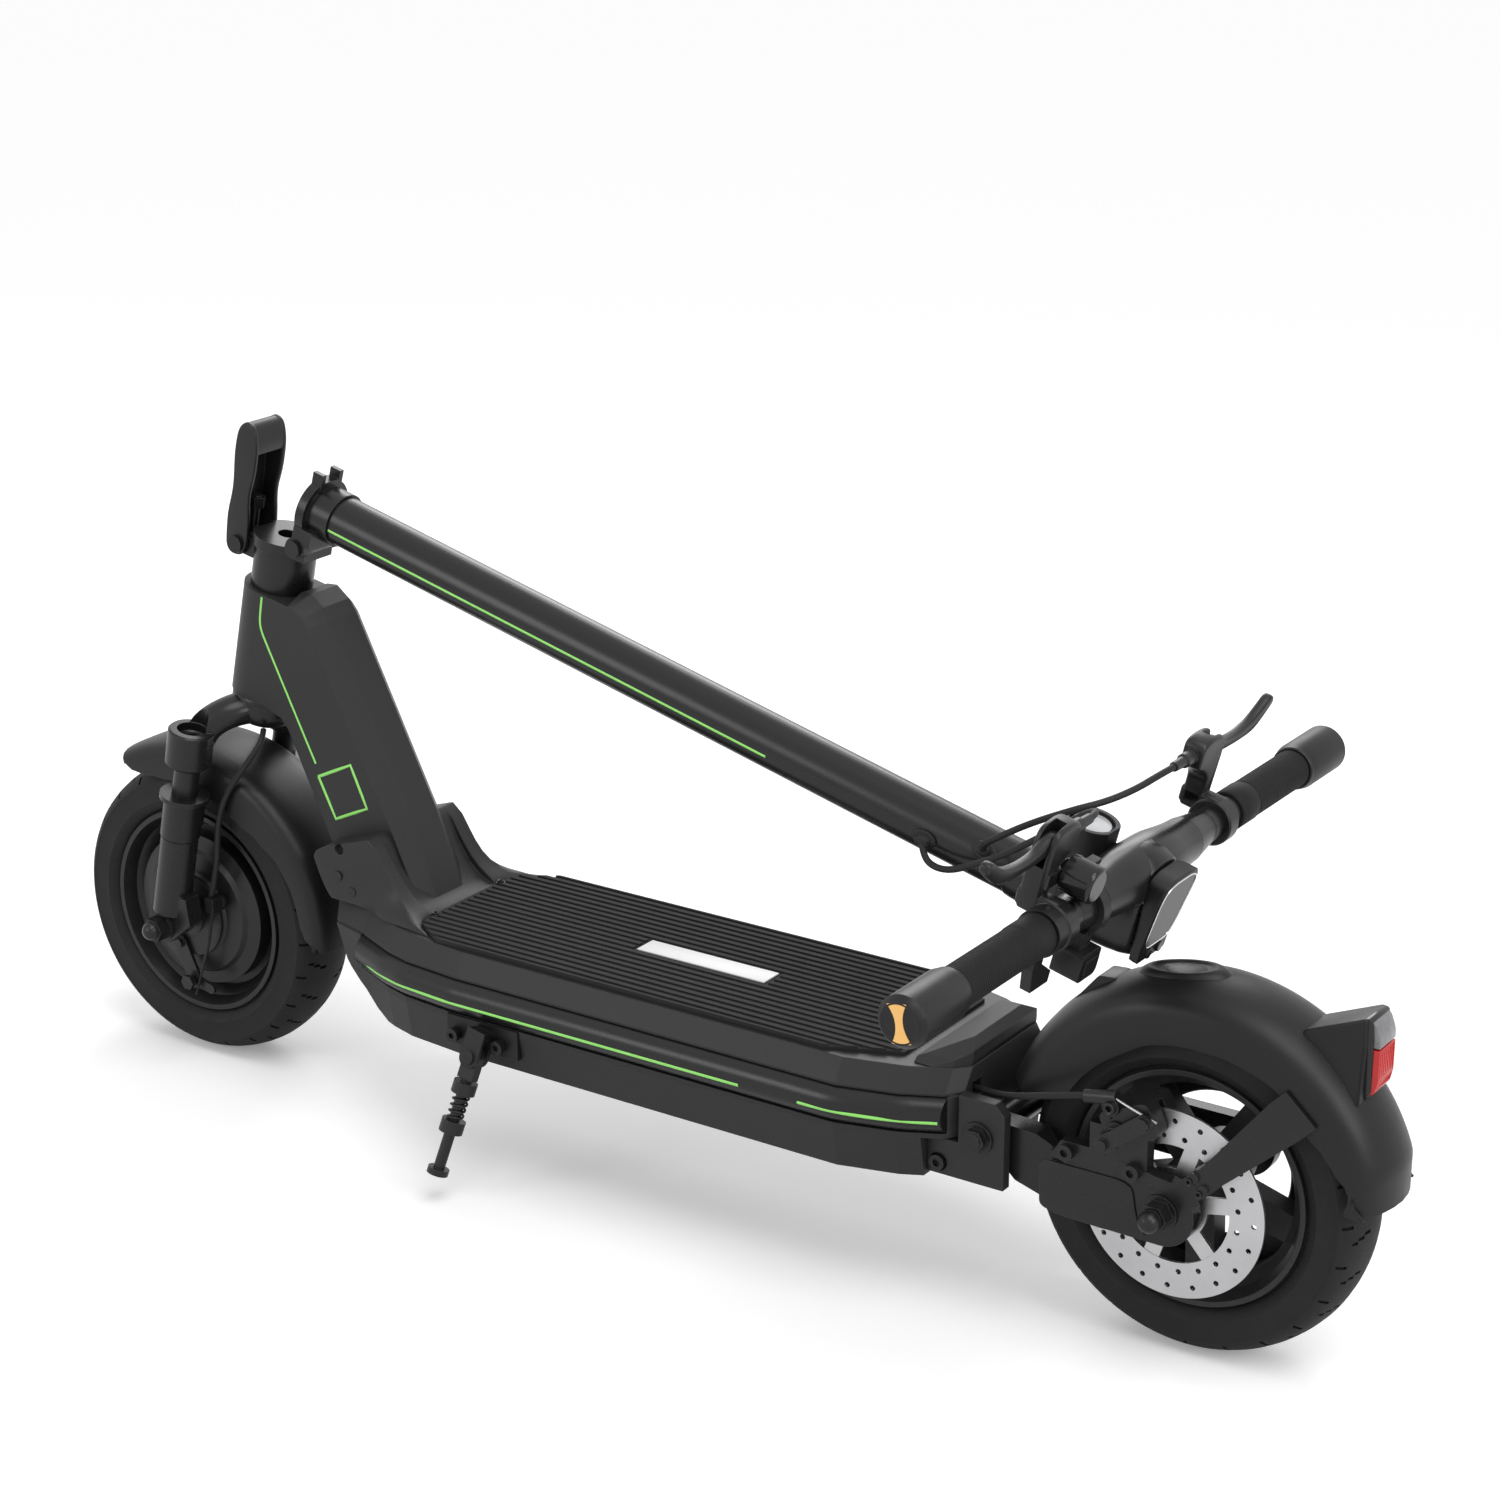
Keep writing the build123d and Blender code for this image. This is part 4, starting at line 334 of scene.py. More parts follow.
def pick(piece, kind, test):
    # selects vertices by their place, or faces by their middle and normal, of the piece in edit mode
    bpy.ops.mesh.select_mode(type=kind)
    bpy.ops.mesh.select_all(action="DESELECT")
    shape = bmesh.from_edit_mesh(piece.data)
    if kind == "VERT":
        for vertex in shape.verts:
            vertex.select = bool(test(vertex.co / mm))
    else:
        for face in shape.faces:
            face.select = bool(test(face.calc_center_median() / mm, face.normal))
    shape.select_flush_mode()
    bmesh.update_edit_mesh(piece.data)


def rounded(points, radius, steps=4):
    # the outline with each corner replaced by a short curve; a point may carry its own radius
    smooth = []
    count = len(points)
    for i, point in enumerate(points):
        own = point[2] if len(point) > 2 else radius
        here = Vector(point[:2])
        before, after = Vector(points[i - 1][:2]), Vector(points[(i + 1) % count][:2])
        back = (before - here).normalized() * min(own, (before - here).length * 0.45)
        on = (after - here).normalized() * min(own, (after - here).length * 0.45)
        if own <= 0:
            smooth.append(tuple(here))
            continue
        for k in range(steps + 1):
            t = k / steps
            spot = here + back * (1 - t) ** 2 + on * t ** 2
            smooth.append((spot.x, spot.y))
    return smooth


def ease(t):
    return t * t * (3 - 2 * t)


def drawnOut(name, points, depth):
    piece = trace(name, points)
    bpy.ops.mesh.extrude_region_move(TRANSFORM_OT_translate={"value": Vector(depth) * mm})
    faceOutwards()
    return piece


def plate(name, points, low, thick, corner=None, steps=4, shift=(0, 0), flat=False):
    # an outline of (x, z) thickened along y, or of (x, y) thickened along z when it lies flat
    if corner is not None:
        points = rounded(points, corner, steps)
    spots = [(a + shift[0], b + shift[1]) for a, b in points]
    if flat:
        return drawnOut(name, [(a, b, low) for a, b in spots], (0, 0, thick))
    return drawnOut(name, [(a, low, b) for a, b in spots], (0, thick, 0))


def turned(name, profile, axis="Y", middle=(0, 0), steps=64, closed=False):
    # a profile of (radius, place along the axis), spun round it
    across, other = middle
    if axis == "Y":
        points = [(across + r, along, other) for r, along in profile]
        centre, way = (across, 0, other), (0, 1, 0)
    else:
        points = [(across + r, other, along) for r, along in profile]
        centre, way = (across, other, 0), (0, 0, 1)
    piece = trace(name, points, closed=False)
    if closed:
        bpy.ops.mesh.edge_face_add()
        bpy.ops.mesh.delete(type="ONLY_FACE")
        bpy.ops.mesh.select_all(action="SELECT")
    bpy.ops.mesh.spin(steps=steps, angle=math.radians(360), center=Vector(centre) * mm, axis=way)
    bpy.ops.mesh.select_all(action="SELECT")
    bpy.ops.mesh.remove_doubles(threshold=0.00002)
    faceOutwards()
    return piece


def tube(name, points, radius, resolution=8, order=3, taper=()):
    curve = bpy.data.curves.new(name, "CURVE")
    curve.dimensions = "3D"
    curve.bevel_depth = radius * mm
    curve.bevel_resolution = 4
    curve.resolution_u = resolution
    curve.use_fill_caps = True
    spline = curve.splines.new("NURBS")
    spline.points.add(len(points) - 1)
    for spot, point in zip(spline.points, points):
        spot.co = (*(Vector(point) * mm), 1)
    for spot, size in zip(spline.points, taper):
        spot.radius = size
    spline.order_u = order
    spline.use_endpoint_u = True
    piece = bpy.data.objects.new(name, curve)
    bpy.context.scene.collection.objects.link(piece)
    only(piece)
    bpy.ops.object.convert(target="MESH")
    return bpy.context.object


def lofted(name, rings):
    # the first ring is filled, then drawn out and reshaped ring by ring
    piece = trace(name, rings[0])
    for before, after in zip(rings, rings[1:]):
        bpy.ops.mesh.extrude_region_move(TRANSFORM_OT_translate={"value": (0, 0, 0)})
        shape = bmesh.from_edit_mesh(piece.data)
        spots = [Vector(point) * mm for point in before]
        for vertex in [v for v in shape.verts if v.select]:
            nearest = min(range(len(spots)), key=lambda k: (spots[k] - vertex.co).length)
            vertex.co = Vector(after[nearest]) * mm
        bmesh.update_edit_mesh(piece.data)
    faceOutwards()
    return piece


def modifierOn(piece, kind, **values):
    only(piece)
    bpy.ops.object.modifier_add(type=kind)
    modifier = piece.modifiers[-1]
    for key, value in values.items():
        setattr(modifier, key, value)
    bpy.ops.object.modifier_apply(modifier=modifier.name)


def soften(piece, width, segments=3, angle=30):
    modifierOn(piece, "BEVEL", width=width * mm, segments=segments, limit_method="ANGLE",
               angle_limit=math.radians(angle), miter_outer="MITER_ARC")


def cut(piece, cutter):
    modifierOn(piece, "BOOLEAN", operation="DIFFERENCE", object=cutter, solver="EXACT")
    bpy.data.objects.remove(cutter)


def joined(name, *pieces):
    only(pieces[0])
    for piece in pieces[1:]:
        piece.select_set(True)
    bpy.ops.object.join()
    pieces[0].name = name
    return pieces[0]


def twin(piece, name):
    # its mirror image across the middle plane, with its own mesh
    only(piece)
    bpy.ops.object.duplicate()
    other = bpy.context.object
    other.name = name
    other.scale = (1, -1, 1)
    bpy.ops.object.transform_apply(location=True, rotation=True, scale=True)
    bpy.ops.object.mode_set(mode="EDIT")
    faceOutwards()
    return other


def complete(piece, body, finish, stands=(), place=None, smooth=35, slot=None):
    only(piece)
    if place is not None:
        piece.matrix_world = place @ piece.matrix_world
    bpy.ops.object.transform_apply(location=True, rotation=True, scale=True)
    bpy.ops.object.shade_smooth_by_angle(angle=math.radians(smooth))
    piece.data.materials.clear()
    piece.data.materials.append(paints[finish])
    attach(piece, body)
    if stands:
        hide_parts(*stands)


def bothSides(left, rightName, body, finish, stands=(), **rest):
    # the left piece stands for the node, its twin on the right comes with it
    right = twin(left, rightName)
    complete(left, body, finish, stands=stands, **rest)
    complete(right, body, finish, **rest)


# lime stripes, half sunk into the stem, the rails and the neck
stemAxis, stemAcross = 28.5, 20
stripes = {
    "radius": 1.4, "sunk": 0.9,
    "stemAngle": 98.6, "stemAlong": (25.5, 230, 450),
    "rail": [(256.5, 73.5), (240, 81.3), (224.8, 88.9), (207, 94.9), (191, 98.9), (170, 101.1), (150, 103.2),
             (139, 104), (100, 104), (40, 104), (-40, 104), (-129, 104)],
    "railRear": [(-180, 104), (-197, 104), (-213, 102.4), (-230, 98.6), (-247.7, 93.3), (-265, 86.6), (-281, 78.6)],
    "railHeight": 151.5,
    "neck": [(378, 418), (380.5, 405), (381.5, 396), (380.5, 390), (376, 380), (329, 287)],
    "neckFace": 30,
}
inside = stripes["sunk"]
around = math.radians(stripes["stemAngle"])
reach = stemAcross - inside
stemX, stemY = stemAxis + reach * math.cos(around), reach * math.sin(around)
stemStripe = tube("stemStripe", [(stemX, stemY, z) for z in stripes["stemAlong"]], stripes["radius"])
complete(stemStripe, "stem", "limeStripe", place=stemPlace)
for name, key in (("railStripe", "rail"), ("railStripeRear", "railRear")):
    points = [(x, y - inside, stripes["railHeight"]) for x, y in stripes[key]]
    bothSides(tube(name + "Left", points, stripes["radius"]), name + "Right", "frame", "limeStripe")
points = [(x, stripes["neckFace"] - inside, z) for x, z in stripes["neck"]]
bothSides(tube("neckStripeLeft", points, stripes["radius"]), "neckStripeRight", "frame", "limeStripe")
print("stripes laid")

inlay = {"x": -31, "length": 117, "width": 21, "low": 188.6, "high": 189.9, "round": 0.4}
halfLength, halfWidth = inlay["length"] / 2, inlay["width"] / 2
front, back = inlay["x"] + halfLength, inlay["x"] - halfLength
corners = [(back, -halfWidth), (front, -halfWidth), (front, halfWidth), (back, halfWidth)]
inlayPlate = plate("inlayPlate", corners, inlay["low"], inlay["high"] - inlay["low"], flat=True)
soften(inlayPlate, inlay["round"], 2)
complete(inlayPlate, "frame", "whitePlate")
print("deck inlay laid")

# ringed grips, each with a plain collar at its inner end
barX, barZ = 69.5, 741.0
barAxis = (barX, barZ)
grips = {"bar": 12.8, "radius": 14.7, "valley": 14.0, "from": 169, "to": 250.6, "pitch": 2.4,
         "collarFrom": 139.2, "collar": 15.2}
profile = [(grips["bar"], grips["collarFrom"]), (grips["collar"] - 1, grips["collarFrom"]),
           (grips["collar"], grips["collarFrom"] + 1), (grips["collar"], grips["from"] - 3.2),
           (grips["radius"] - 0.2, grips["from"] - 2)]
y = grips["from"]
pitch = grips["pitch"]
while y + pitch < grips["to"]:
    profile += [(grips["valley"], y), (grips["radius"], y + 0.25 * pitch), (grips["radius"], y + 0.75 * pitch)]
    y += pitch
profile += [(grips["valley"], y), (grips["radius"], grips["to"] - 0.6), (grips["radius"] - 1, grips["to"]),
            (grips["bar"], grips["to"])]
gripLeft = turned("gripLeft", profile, middle=barAxis, steps=48, closed=True)
bothSides(gripLeft, "gripRight", "stem", "gripRubber", ["grips"], place=stemPlace, slot="grip_rubber", smooth=50)

caps = {"from": 251.2, "end": 313, "radius": 18, "neck": 16.6, "face": 14, "bar": 12.8}
profile = [(caps["bar"], caps["from"]), (caps["neck"] - 0.8, caps["from"]), (caps["neck"], caps["from"] + 1),
           (caps["neck"] + 0.2, caps["from"] + 4), (caps["radius"], caps["from"] + 8),
           (caps["radius"], caps["end"] - 4.6), (caps["radius"] - 0.7, caps["end"] - 3.6),
           (caps["face"] + 0.7, caps["end"] - 0.5), (caps["face"], caps["end"]), (caps["face"] - 1.2, caps["end"]),
           (caps["face"] - 1.7, caps["end"] - 0.5), (0.01, caps["end"] - 0.5)]
capLeft = turned("capLeft", profile, middle=barAxis, steps=56)
bothSides(capLeft, "capRight", "stem", "mouldedBlack", ["bar_end_lights"], place=stemPlace, slot="black_plastic",
          smooth=28)

# hourglass lens across the end of each cap
lens = {"high": 15.0, "half": 8.2, "waist": 3.1, "thick": 0.5, "turn": 66, "size": 0.86, "sunk": 0.52}
side = []
for i in range(9):
    t = -1 + i / 4
    side.append((lens["waist"] + (lens["half"] - lens["waist"]) * t * t, lens["high"] * t))
crest = [(lens["half"] * (1 - k / 3) * 0.98, lens["high"] + 0.9 * math.sin(math.pi * k / 6)) for k in range(1, 3)]
outline = side + crest + [(-x, z) for x, z in reversed(crest)] + [(-x, z) for x, z in reversed(side)]
outline += [(-x, -z) for x, z in crest] + [(x, -z) for x, z in reversed(crest)]
outline = [(x * lens["size"], z * lens["size"]) for x, z in outline]
c, s = math.cos(math.radians(lens["turn"])), math.sin(math.radians(lens["turn"]))
spots = [(barX + x * c - z * s, barZ + x * s + z * c) for x, z in outline]
lensLeft = plate("amberLensLeft", spots, caps["end"] - lens["sunk"], lens["thick"])
bothSides(lensLeft, "amberLensRight", "stem", "amberLens", place=stemPlace)
print("bar ends ready")


def mudguard(name, look):
    # an arch of constant section, its skirt then drawn in or out from place to place
    base, radius = look["base"], look["radius"]
    half = [(base, look["half"] - 1)] + [(radius - drop, look["half"] - inward) for drop, inward in look["crown"]]
    section = half + [(radius, 0)] + [(r, -y) for r, y in reversed(half)]
    first, last = look["from"], look["to"]
    start = math.radians(first)
    steps = int((last - first) / look["step"])
    piece = trace(name, [(r * math.cos(start), y, r * math.sin(start)) for r, y in section], closed=False)
    bpy.ops.mesh.spin(steps=steps, angle=math.radians(last - first), center=(0, 0, 0), axis=(0, 1, 0))
    skirt = sorted(look["skirt"].items())
    for i in range(steps + 1):
        angle = first + (last - first) * i / steps
        wanted = skirt[-1][1]
        for (low, lowEdge), (high, highEdge) in zip(skirt, skirt[1:]):
            if low <= angle <= high:
                wanted = lowEdge + (highEdge - lowEdge) * ease((angle - low) / (high - low))
        way = Vector((math.cos(math.radians(angle)), 0, math.sin(math.radians(angle))))

        def onRing(p):
            return abs(Vector((p.x, 0, p.z)).normalized().cross(way).y) < 0.006 and p.dot(way) > 0

        pick(piece, "VERT", lambda p: abs(p.xz.length - base) < 1 and onRing(p))
        bpy.ops.transform.translate(value=way * (wanted - base) * mm)
        reach = radius * abs(way.x)
        if way.x < 0 and reach > look["behind"]:
            pick(piece, "VERT", onRing)
            size = look["behind"] / reach
            bpy.ops.transform.resize(value=(size, 1, size), center_override=(0, 0, 0))
    bpy.ops.object.mode_set(mode="OBJECT")
    modifierOn(piece, "SOLIDIFY", thickness=look["wall"] * mm, offset=1)
    edit(piece)
    faceOutwards()
    return piece


# crown gives the drop and the distance in from the side, skirt the radius of the lower edge at each angle
rearGuard = {
    "radius": 153, "half": 40, "base": 125, "from": 20, "to": 172, "step": 2, "behind": 145.2, "wall": 2.6,
    "crown": [(24, 0), (17, 1.4), (11.5, 5), (7, 11), (3.6, 19), (1.2, 28)],
    "skirt": {20: 125, 24: 112, 30: 105, 45: 105.5, 60: 106, 76: 109.5, 94: 110.5, 108: 113, 124: 116, 134: 114,
              143: 113, 150: 117, 157: 120, 164: 127, 168: 134, 172: 143},
}
frontGuard = {
    "radius": 150, "half": 39.3, "base": 124, "from": 63, "to": 181, "step": 2, "behind": 150, "wall": 2.6,
    "crown": [(13, 0), (8, 1.2), (4.4, 4.4), (2, 10), (0.7, 18), (0.1, 28)],
    "skirt": {63: 137, 65: 130, 69: 125, 74: 121.5, 82: 118, 100: 114, 124: 112, 136: 117, 148: 122.5, 159: 125,
              172: 125.5, 177: 129, 181: 143},
}
for name, look, body, place, node in (("rearMudguard", rearGuard, "swingarm", rearPlace, "rear_fender"),
                                      ("frontMudguard", frontGuard, "fork_lowers", frontPlace, "front_fender")):
    complete(mudguard(name, look), body, "mouldedBlack", place=place, stands=[node], slot="black_plastic", smooth=50)
print("mudguards ready")

tyre = {
    "section": [(84.3, 20), (84.3, 23.7), (89.3, 24.1), (90, 26), (92.5, 28.8), (96, 31), (98, 31.9), (100, 31.3),
                (106, 31.8), (112, 31.2), (114, 31.8), (116, 30.8), (119, 28), (121.6, 24.4), (123.8, 19.5),
                (125.6, 13.5), (126.8, 7), (127.4, 0)],
    "steps": 288,
    "tread": 117,           # the grooves start outside this radius
    "middle": (6, 22),      # the two rows of grooves, each between these distances from the middle
    "shoulder": (16, 30),
    "groove": 2.2,
    "slant": 0.17,
}


def makeTyre(name, place, body, node, lean):
    half = tyre["section"]
    piece = turned(name, half + [(r, -y) for r, y in reversed(half[:-1])], steps=tyre["steps"])
    edit(piece)

    def inGroove(p, normal):
        if p.xz.length < tyre["tread"]:
            return False
        across = abs(p.y)
        step = math.degrees(math.atan2(p.z, p.x)) / (360 / tyre["steps"])
        number = int(math.floor(step - lean * across * tyre["slant"] + (0 if p.y > 0 else 6) + 0.5)) % 12
        if tyre["middle"][0] < across < tyre["middle"][1]:
            return number == 0
        return tyre["shoulder"][0] < across < tyre["shoulder"][1] and number == 6

    pick(piece, "FACE", inGroove)
    bpy.ops.mesh.extrude_region_shrink_fatten(TRANSFORM_OT_shrink_fatten={"value": -tyre["groove"] * mm})
    bpy.ops.object.mode_set(mode="OBJECT")
    complete(piece, body, "tyreRubber", place=place, stands=[node], slot="tyre_rubber", smooth=32)


makeTyre("rearTyreTread", rearPlace, "rear_wheel", "rear_tyre", 1)
makeTyre("frontTyreTread", frontPlace, "front_wheel", "front_tyre", -1)

# flange on the far side of the spoked rim
flange = {"profile": [(54, -24), (55.5, -25.2), (86.5, -25.2), (86.5, -21.4), (55.5, -21.4), (54, -22.6)]}
flangePiece = turned("rimFlange", flange["profile"], steps=72, closed=True)
complete(flangePiece, "rear_wheel", "rimGrey", place=rearPlace, smooth=30)
print("tyres ready")

# tail of the rear mudguard, narrower above its shoulder
tail = {
    "side": [(-64, 246, 2), (-73, 261.5, 4), (-118, 280.5, 4), (-119, 262, 2), (-118.5, 212, 3), (-110, 205, 4),
             (-96, 216, 6)],
    "half": 24, "shoulder": 250, "taper": 0.68, "round": 3.5,
}
housing = plate("tailHousing", tail["side"], -tail["half"], 2 * tail["half"], 3, shift=(rearX, 0))
edit(housing)
pick(housing, "VERT", lambda p: p.z > tail["shoulder"])
bpy.ops.transform.resize(value=(1, tail["taper"], 1), center_override=(0, 0, 0))
bpy.ops.object.mode_set(mode="OBJECT")
soften(housing, tail["round"], 4, 40)
complete(housing, "swingarm", "mouldedBlack")

tailLamp = {
    "Frame": {"finish": "glossBlack", "half": 14.6, "stands": ["tail_light"],
              "side": [(-115, 279.5, 2), (-121, 279.5, 3), (-122.5, 266, 1), (-122.5, 226, 3), (-118, 218.5, 3),
                       (-113, 218.5, 1)]},
    "Clear": {"finish": "clearLens", "half": 13,
              "side": [(-116, 278, 2), (-122.6, 277.6, 4), (-126.9, 266, 3), (-127, 259, 0.8), (-116, 259, 0.8)]},
    "Red": {"finish": "redLens", "half": 13, "slot": "red_lens",
            "side": [(-116, 257.8, 0.5), (-127, 257.8, 1), (-127, 236, 1), (-124.6, 225.6, 3), (-116, 221.5, 2)]},
}
for key, look in tailLamp.items():
    part = plate("tailLamp" + key, look["side"], -look["half"], 2 * look["half"], 1, shift=(rearX, 0))
    soften(part, 1.2, 3)
    complete(part, "swingarm", look["finish"], stands=look.get("stands", ()), slot=look.get("slot"))
ribs = {"count": 8, "pitch": 3.1, "radius": 0.45, "side": [(-127, 256.6), (-127, 244), (-126.8, 235), (-125.2, 228.5)]}
for i in range(ribs["count"]):
    y = (i - (ribs["count"] - 1) / 2) * ribs["pitch"]
    rib = tube("tailLampRib%02d" % (i + 1), [(rearX + x, y, z) for x, z in ribs["side"]], ribs["radius"], 3)
    complete(rib, "swingarm", "redLens")

# raised oval on the crown with a shallow dish, and the wedge in front of it
dish = {
    "angle": 81, "crown": 152.6, "stretch": (1.3, 0.68, 1),
    "profile": [(0.01, -0.8), (14, -0.7), (17, 0), (19, 1.0), (20.5, 1.2), (22, 0.9), (25, -1.2), (28, -5.4)],
}
dishPiece = turned("crownDish", dish["profile"], "Z", steps=48)
dishPiece.scale = dish["stretch"]
angle = math.radians(dish["angle"])
crownSpot = Vector((math.cos(angle), 0, math.sin(angle))) * dish["crown"] * mm
dishPlace = rearPlace @ Matrix.Translation(crownSpot) @ Matrix.Rotation(math.pi / 2 - angle, 4, "Y")
complete(dishPiece, "swingarm", "mouldedBlack", place=dishPlace, smooth=60)
wedge = {"side": [(113, 227, 1), (84, 262, 2), (71, 263, 3), (60, 258, 2), (88, 228, 2)], "half": 11, "round": 2}
wedgePiece = plate("crownWedge", wedge["side"], -wedge["half"], 2 * wedge["half"], 2, shift=(rearX, 0))
soften(wedgePiece, wedge["round"], 3)
complete(wedgePiece, "swingarm", "mouldedBlack")
print("tail ready")

display = {
    "body": [(14, 20, 3), (24, 20.7, 8), (70, 26, 8), (80, 25, 7), (84, 14, 6), (84, -14, 6), (80, -25, 7),
             (70, -26, 8), (24, -20.7, 8), (14, -20, 3)],
    "middle": 48, "low": 762.1, "high": 770.0, "riseFrom": 24, "rise": 0.113, "trim": 0.6,
    "glass": [(26, 15.5, 5), (34, 19.8, 8), (68, 23.8, 8), (77, 21.5, 7), (80.5, 12, 6), (80.5, -12, 6),
              (77, -21.5, 7), (68, -23.8, 8), (34, -19.8, 8), (26, -15.5, 5)],
}


def displayTop(x):
    return display["high"] + max(0, x - display["riseFrom"]) * display["rise"]


ring = rounded(display["body"], 4)
lowRing = [(x, y * 0.94, display["low"]) for x, y in ring]
midRing = [(x, y, display["low"] + 3.5) for x, y in ring]
topRing = [(x, y, displayTop(x) - 1.2) for x, y in ring]
inRing = [(display["middle"] + (x - display["middle"]) * 0.95, y * 0.94, displayTop(x) - 0.1) for x, y in ring]
screenBody = lofted("displayBody", [lowRing, midRing, topRing, inRing])
complete(screenBody, "stem", "mouldedBlack", place=stemPlace, stands=["display"], slot="black_plastic", smooth=30)
glassRing = rounded(display["glass"], 5)
glass = lofted("displayGlass", [[(x, y, displayTop(x) + rise) for x, y in glassRing] for rise in (-1, 0.15)])
complete(glass, "stem", "screenGlass", place=stemPlace)
trimPoints = [(x, y, displayTop(x) + 0.1) for x, y in glassRing]
trim = tube("displayTrim", trimPoints + trimPoints[:1], display["trim"], 2)
complete(trim, "stem", "chrome", place=stemPlace, slot="chrome")
print("display ready")

# bar head: from the round stem to a wide, squarer block round the bar
head = {
    # height, middle, half depth and half width of each ring
    "rings": [(655, 28.5, 20.6, 20.6), (662, 28.5, 21.4, 21.2), (678, 29.5, 22.5, 21.4), (698, 34, 27, 21.8),
              (716, 42, 34, 23.5), (730, 48, 39.5, 25.5), (742, 51, 41.5, 26.5), (752, 51, 40, 26.2),
              (760.5, 50.5, 37, 25)],
    "points": 32, "squareFrom": 670, "squareOver": 60, "square": 0.9,
    "sleeve": [(17.15, 69), (17.4, 62), (18.4, 50), (20, 38), (21.6, 26), (22.2, 14), (22.4, 0)],
}
rings = []
for z, middle, halfX, halfY in head["rings"]:
    power = 2 / (2.0 + head["square"] * min(1, max(0, (z - head["squareFrom"]) / head["squareOver"])))
    ring = []
    for i in range(head["points"]):
        c, s = math.cos(2 * math.pi * i / head["points"]), math.sin(2 * math.pi * i / head["points"])
        ring.append((middle + halfX * math.copysign(abs(c) ** power, c), halfY * math.copysign(abs(s) ** power, s), z))
    rings.append(ring)
headBody = lofted("barHeadCasting", rings)
soften(headBody, 1.8, 3, 45)
sleeve = head["sleeve"]
headSleeve = turned("barHeadSleeve", sleeve + [(r, -y) for r, y in reversed(sleeve[:-1])], middle=barAxis, steps=48)
complete(headBody, "stem", "satinBlack", place=stemPlace, stands=["bar_head"], slot="frame_paint", smooth=60)
complete(headSleeve, "stem", "satinBlack", place=stemPlace, slot="frame_paint", smooth=60)
print("bar head ready")

foldLever = {
    "pin": (36.0, -18.0), "half": 18.4, "wall": 4.1,
    "front": [(11, -6, 6), (12.5, 6, 8), (13.5, 24, 14), (10.5, 46, 16), (13.5, 76, 16), (12, 96, 8), (5, 104, 5)],
    "back": [(-4, 101, 6), (-9, 86, 10), (-9, 62, 12), (-5.5, 42, 16), (-9, 20, 12), (-9.5, 2, 8), (-6, -8, 6),
             (3, -10, 6)],
    "spine": [(8.6, 3, 0), (12.4, 9, 3), (13.2, 24, 14), (10.2, 46, 16), (13.2, 76, 16), (11.6, 96, 8),
              (4.8, 103.6, 5), (-3.6, 100.6, 6), (-8.4, 86, 6), (-8, 78, 2), (8.6, 76, 3), (7.1, 46, 8)],
}
inner = foldLever["half"] - foldLever["wall"]
leverWall = plate("leverWall", foldLever["front"] + foldLever["back"], inner, foldLever["wall"], 8, 5,
                  shift=foldLever["pin"])
soften(leverWall, 1.2, 3, 50)
otherWall = twin(leverWall, "leverWallFar")
inner += 0.3        # the spine runs a little into both walls
leverSpine = plate("leverSpine", foldLever["spine"], -inner, 2 * inner, 4, shift=foldLever["pin"])
lever = joined("foldLever", leverWall, otherWall, leverSpine)
complete(lever, "fold_lever", "blackAlloy", place=steerPlace, stands=["fold_lever"], slot="black_alloy", smooth=35)
print("fold lever ready")

brakeLever = {
    "pivot": (122.5, 116.0), "low": 718.0, "thick": 8.0, "round": 2.6,
    "plan": [(-5, -6, 3), (6, -7, 3), (8, 4, 5), (3, 14, 8), (-1, 24, 10), (-1.5, 45, 12), (2, 64, 12), (10, 78, 8),
             (16, 87, 4), (15, 92.5, 3.5), (9, 93.5, 3), (1, 83.5, 8), (-8, 70, 10), (-9.5, 48, 14), (-9, 20, 8),
             (-7, 4, 5)],
}
leverLeft = plate("brakeLeverLeft", brakeLever["plan"], brakeLever["low"], brakeLever["thick"], 4, 5,
                  shift=brakeLever["pivot"], flat=True)
soften(leverLeft, brakeLever["round"], 4, 50)
leverRight = twin(leverLeft, "brakeLeverRight")
for lever, body in ((leverLeft, "brake_lever_left"), (leverRight, "brake_lever_right")):
    complete(lever, body, "blackAlloy", place=stemPlace, stands=[body], slot="black_alloy", smooth=60)
print("brake levers ready")

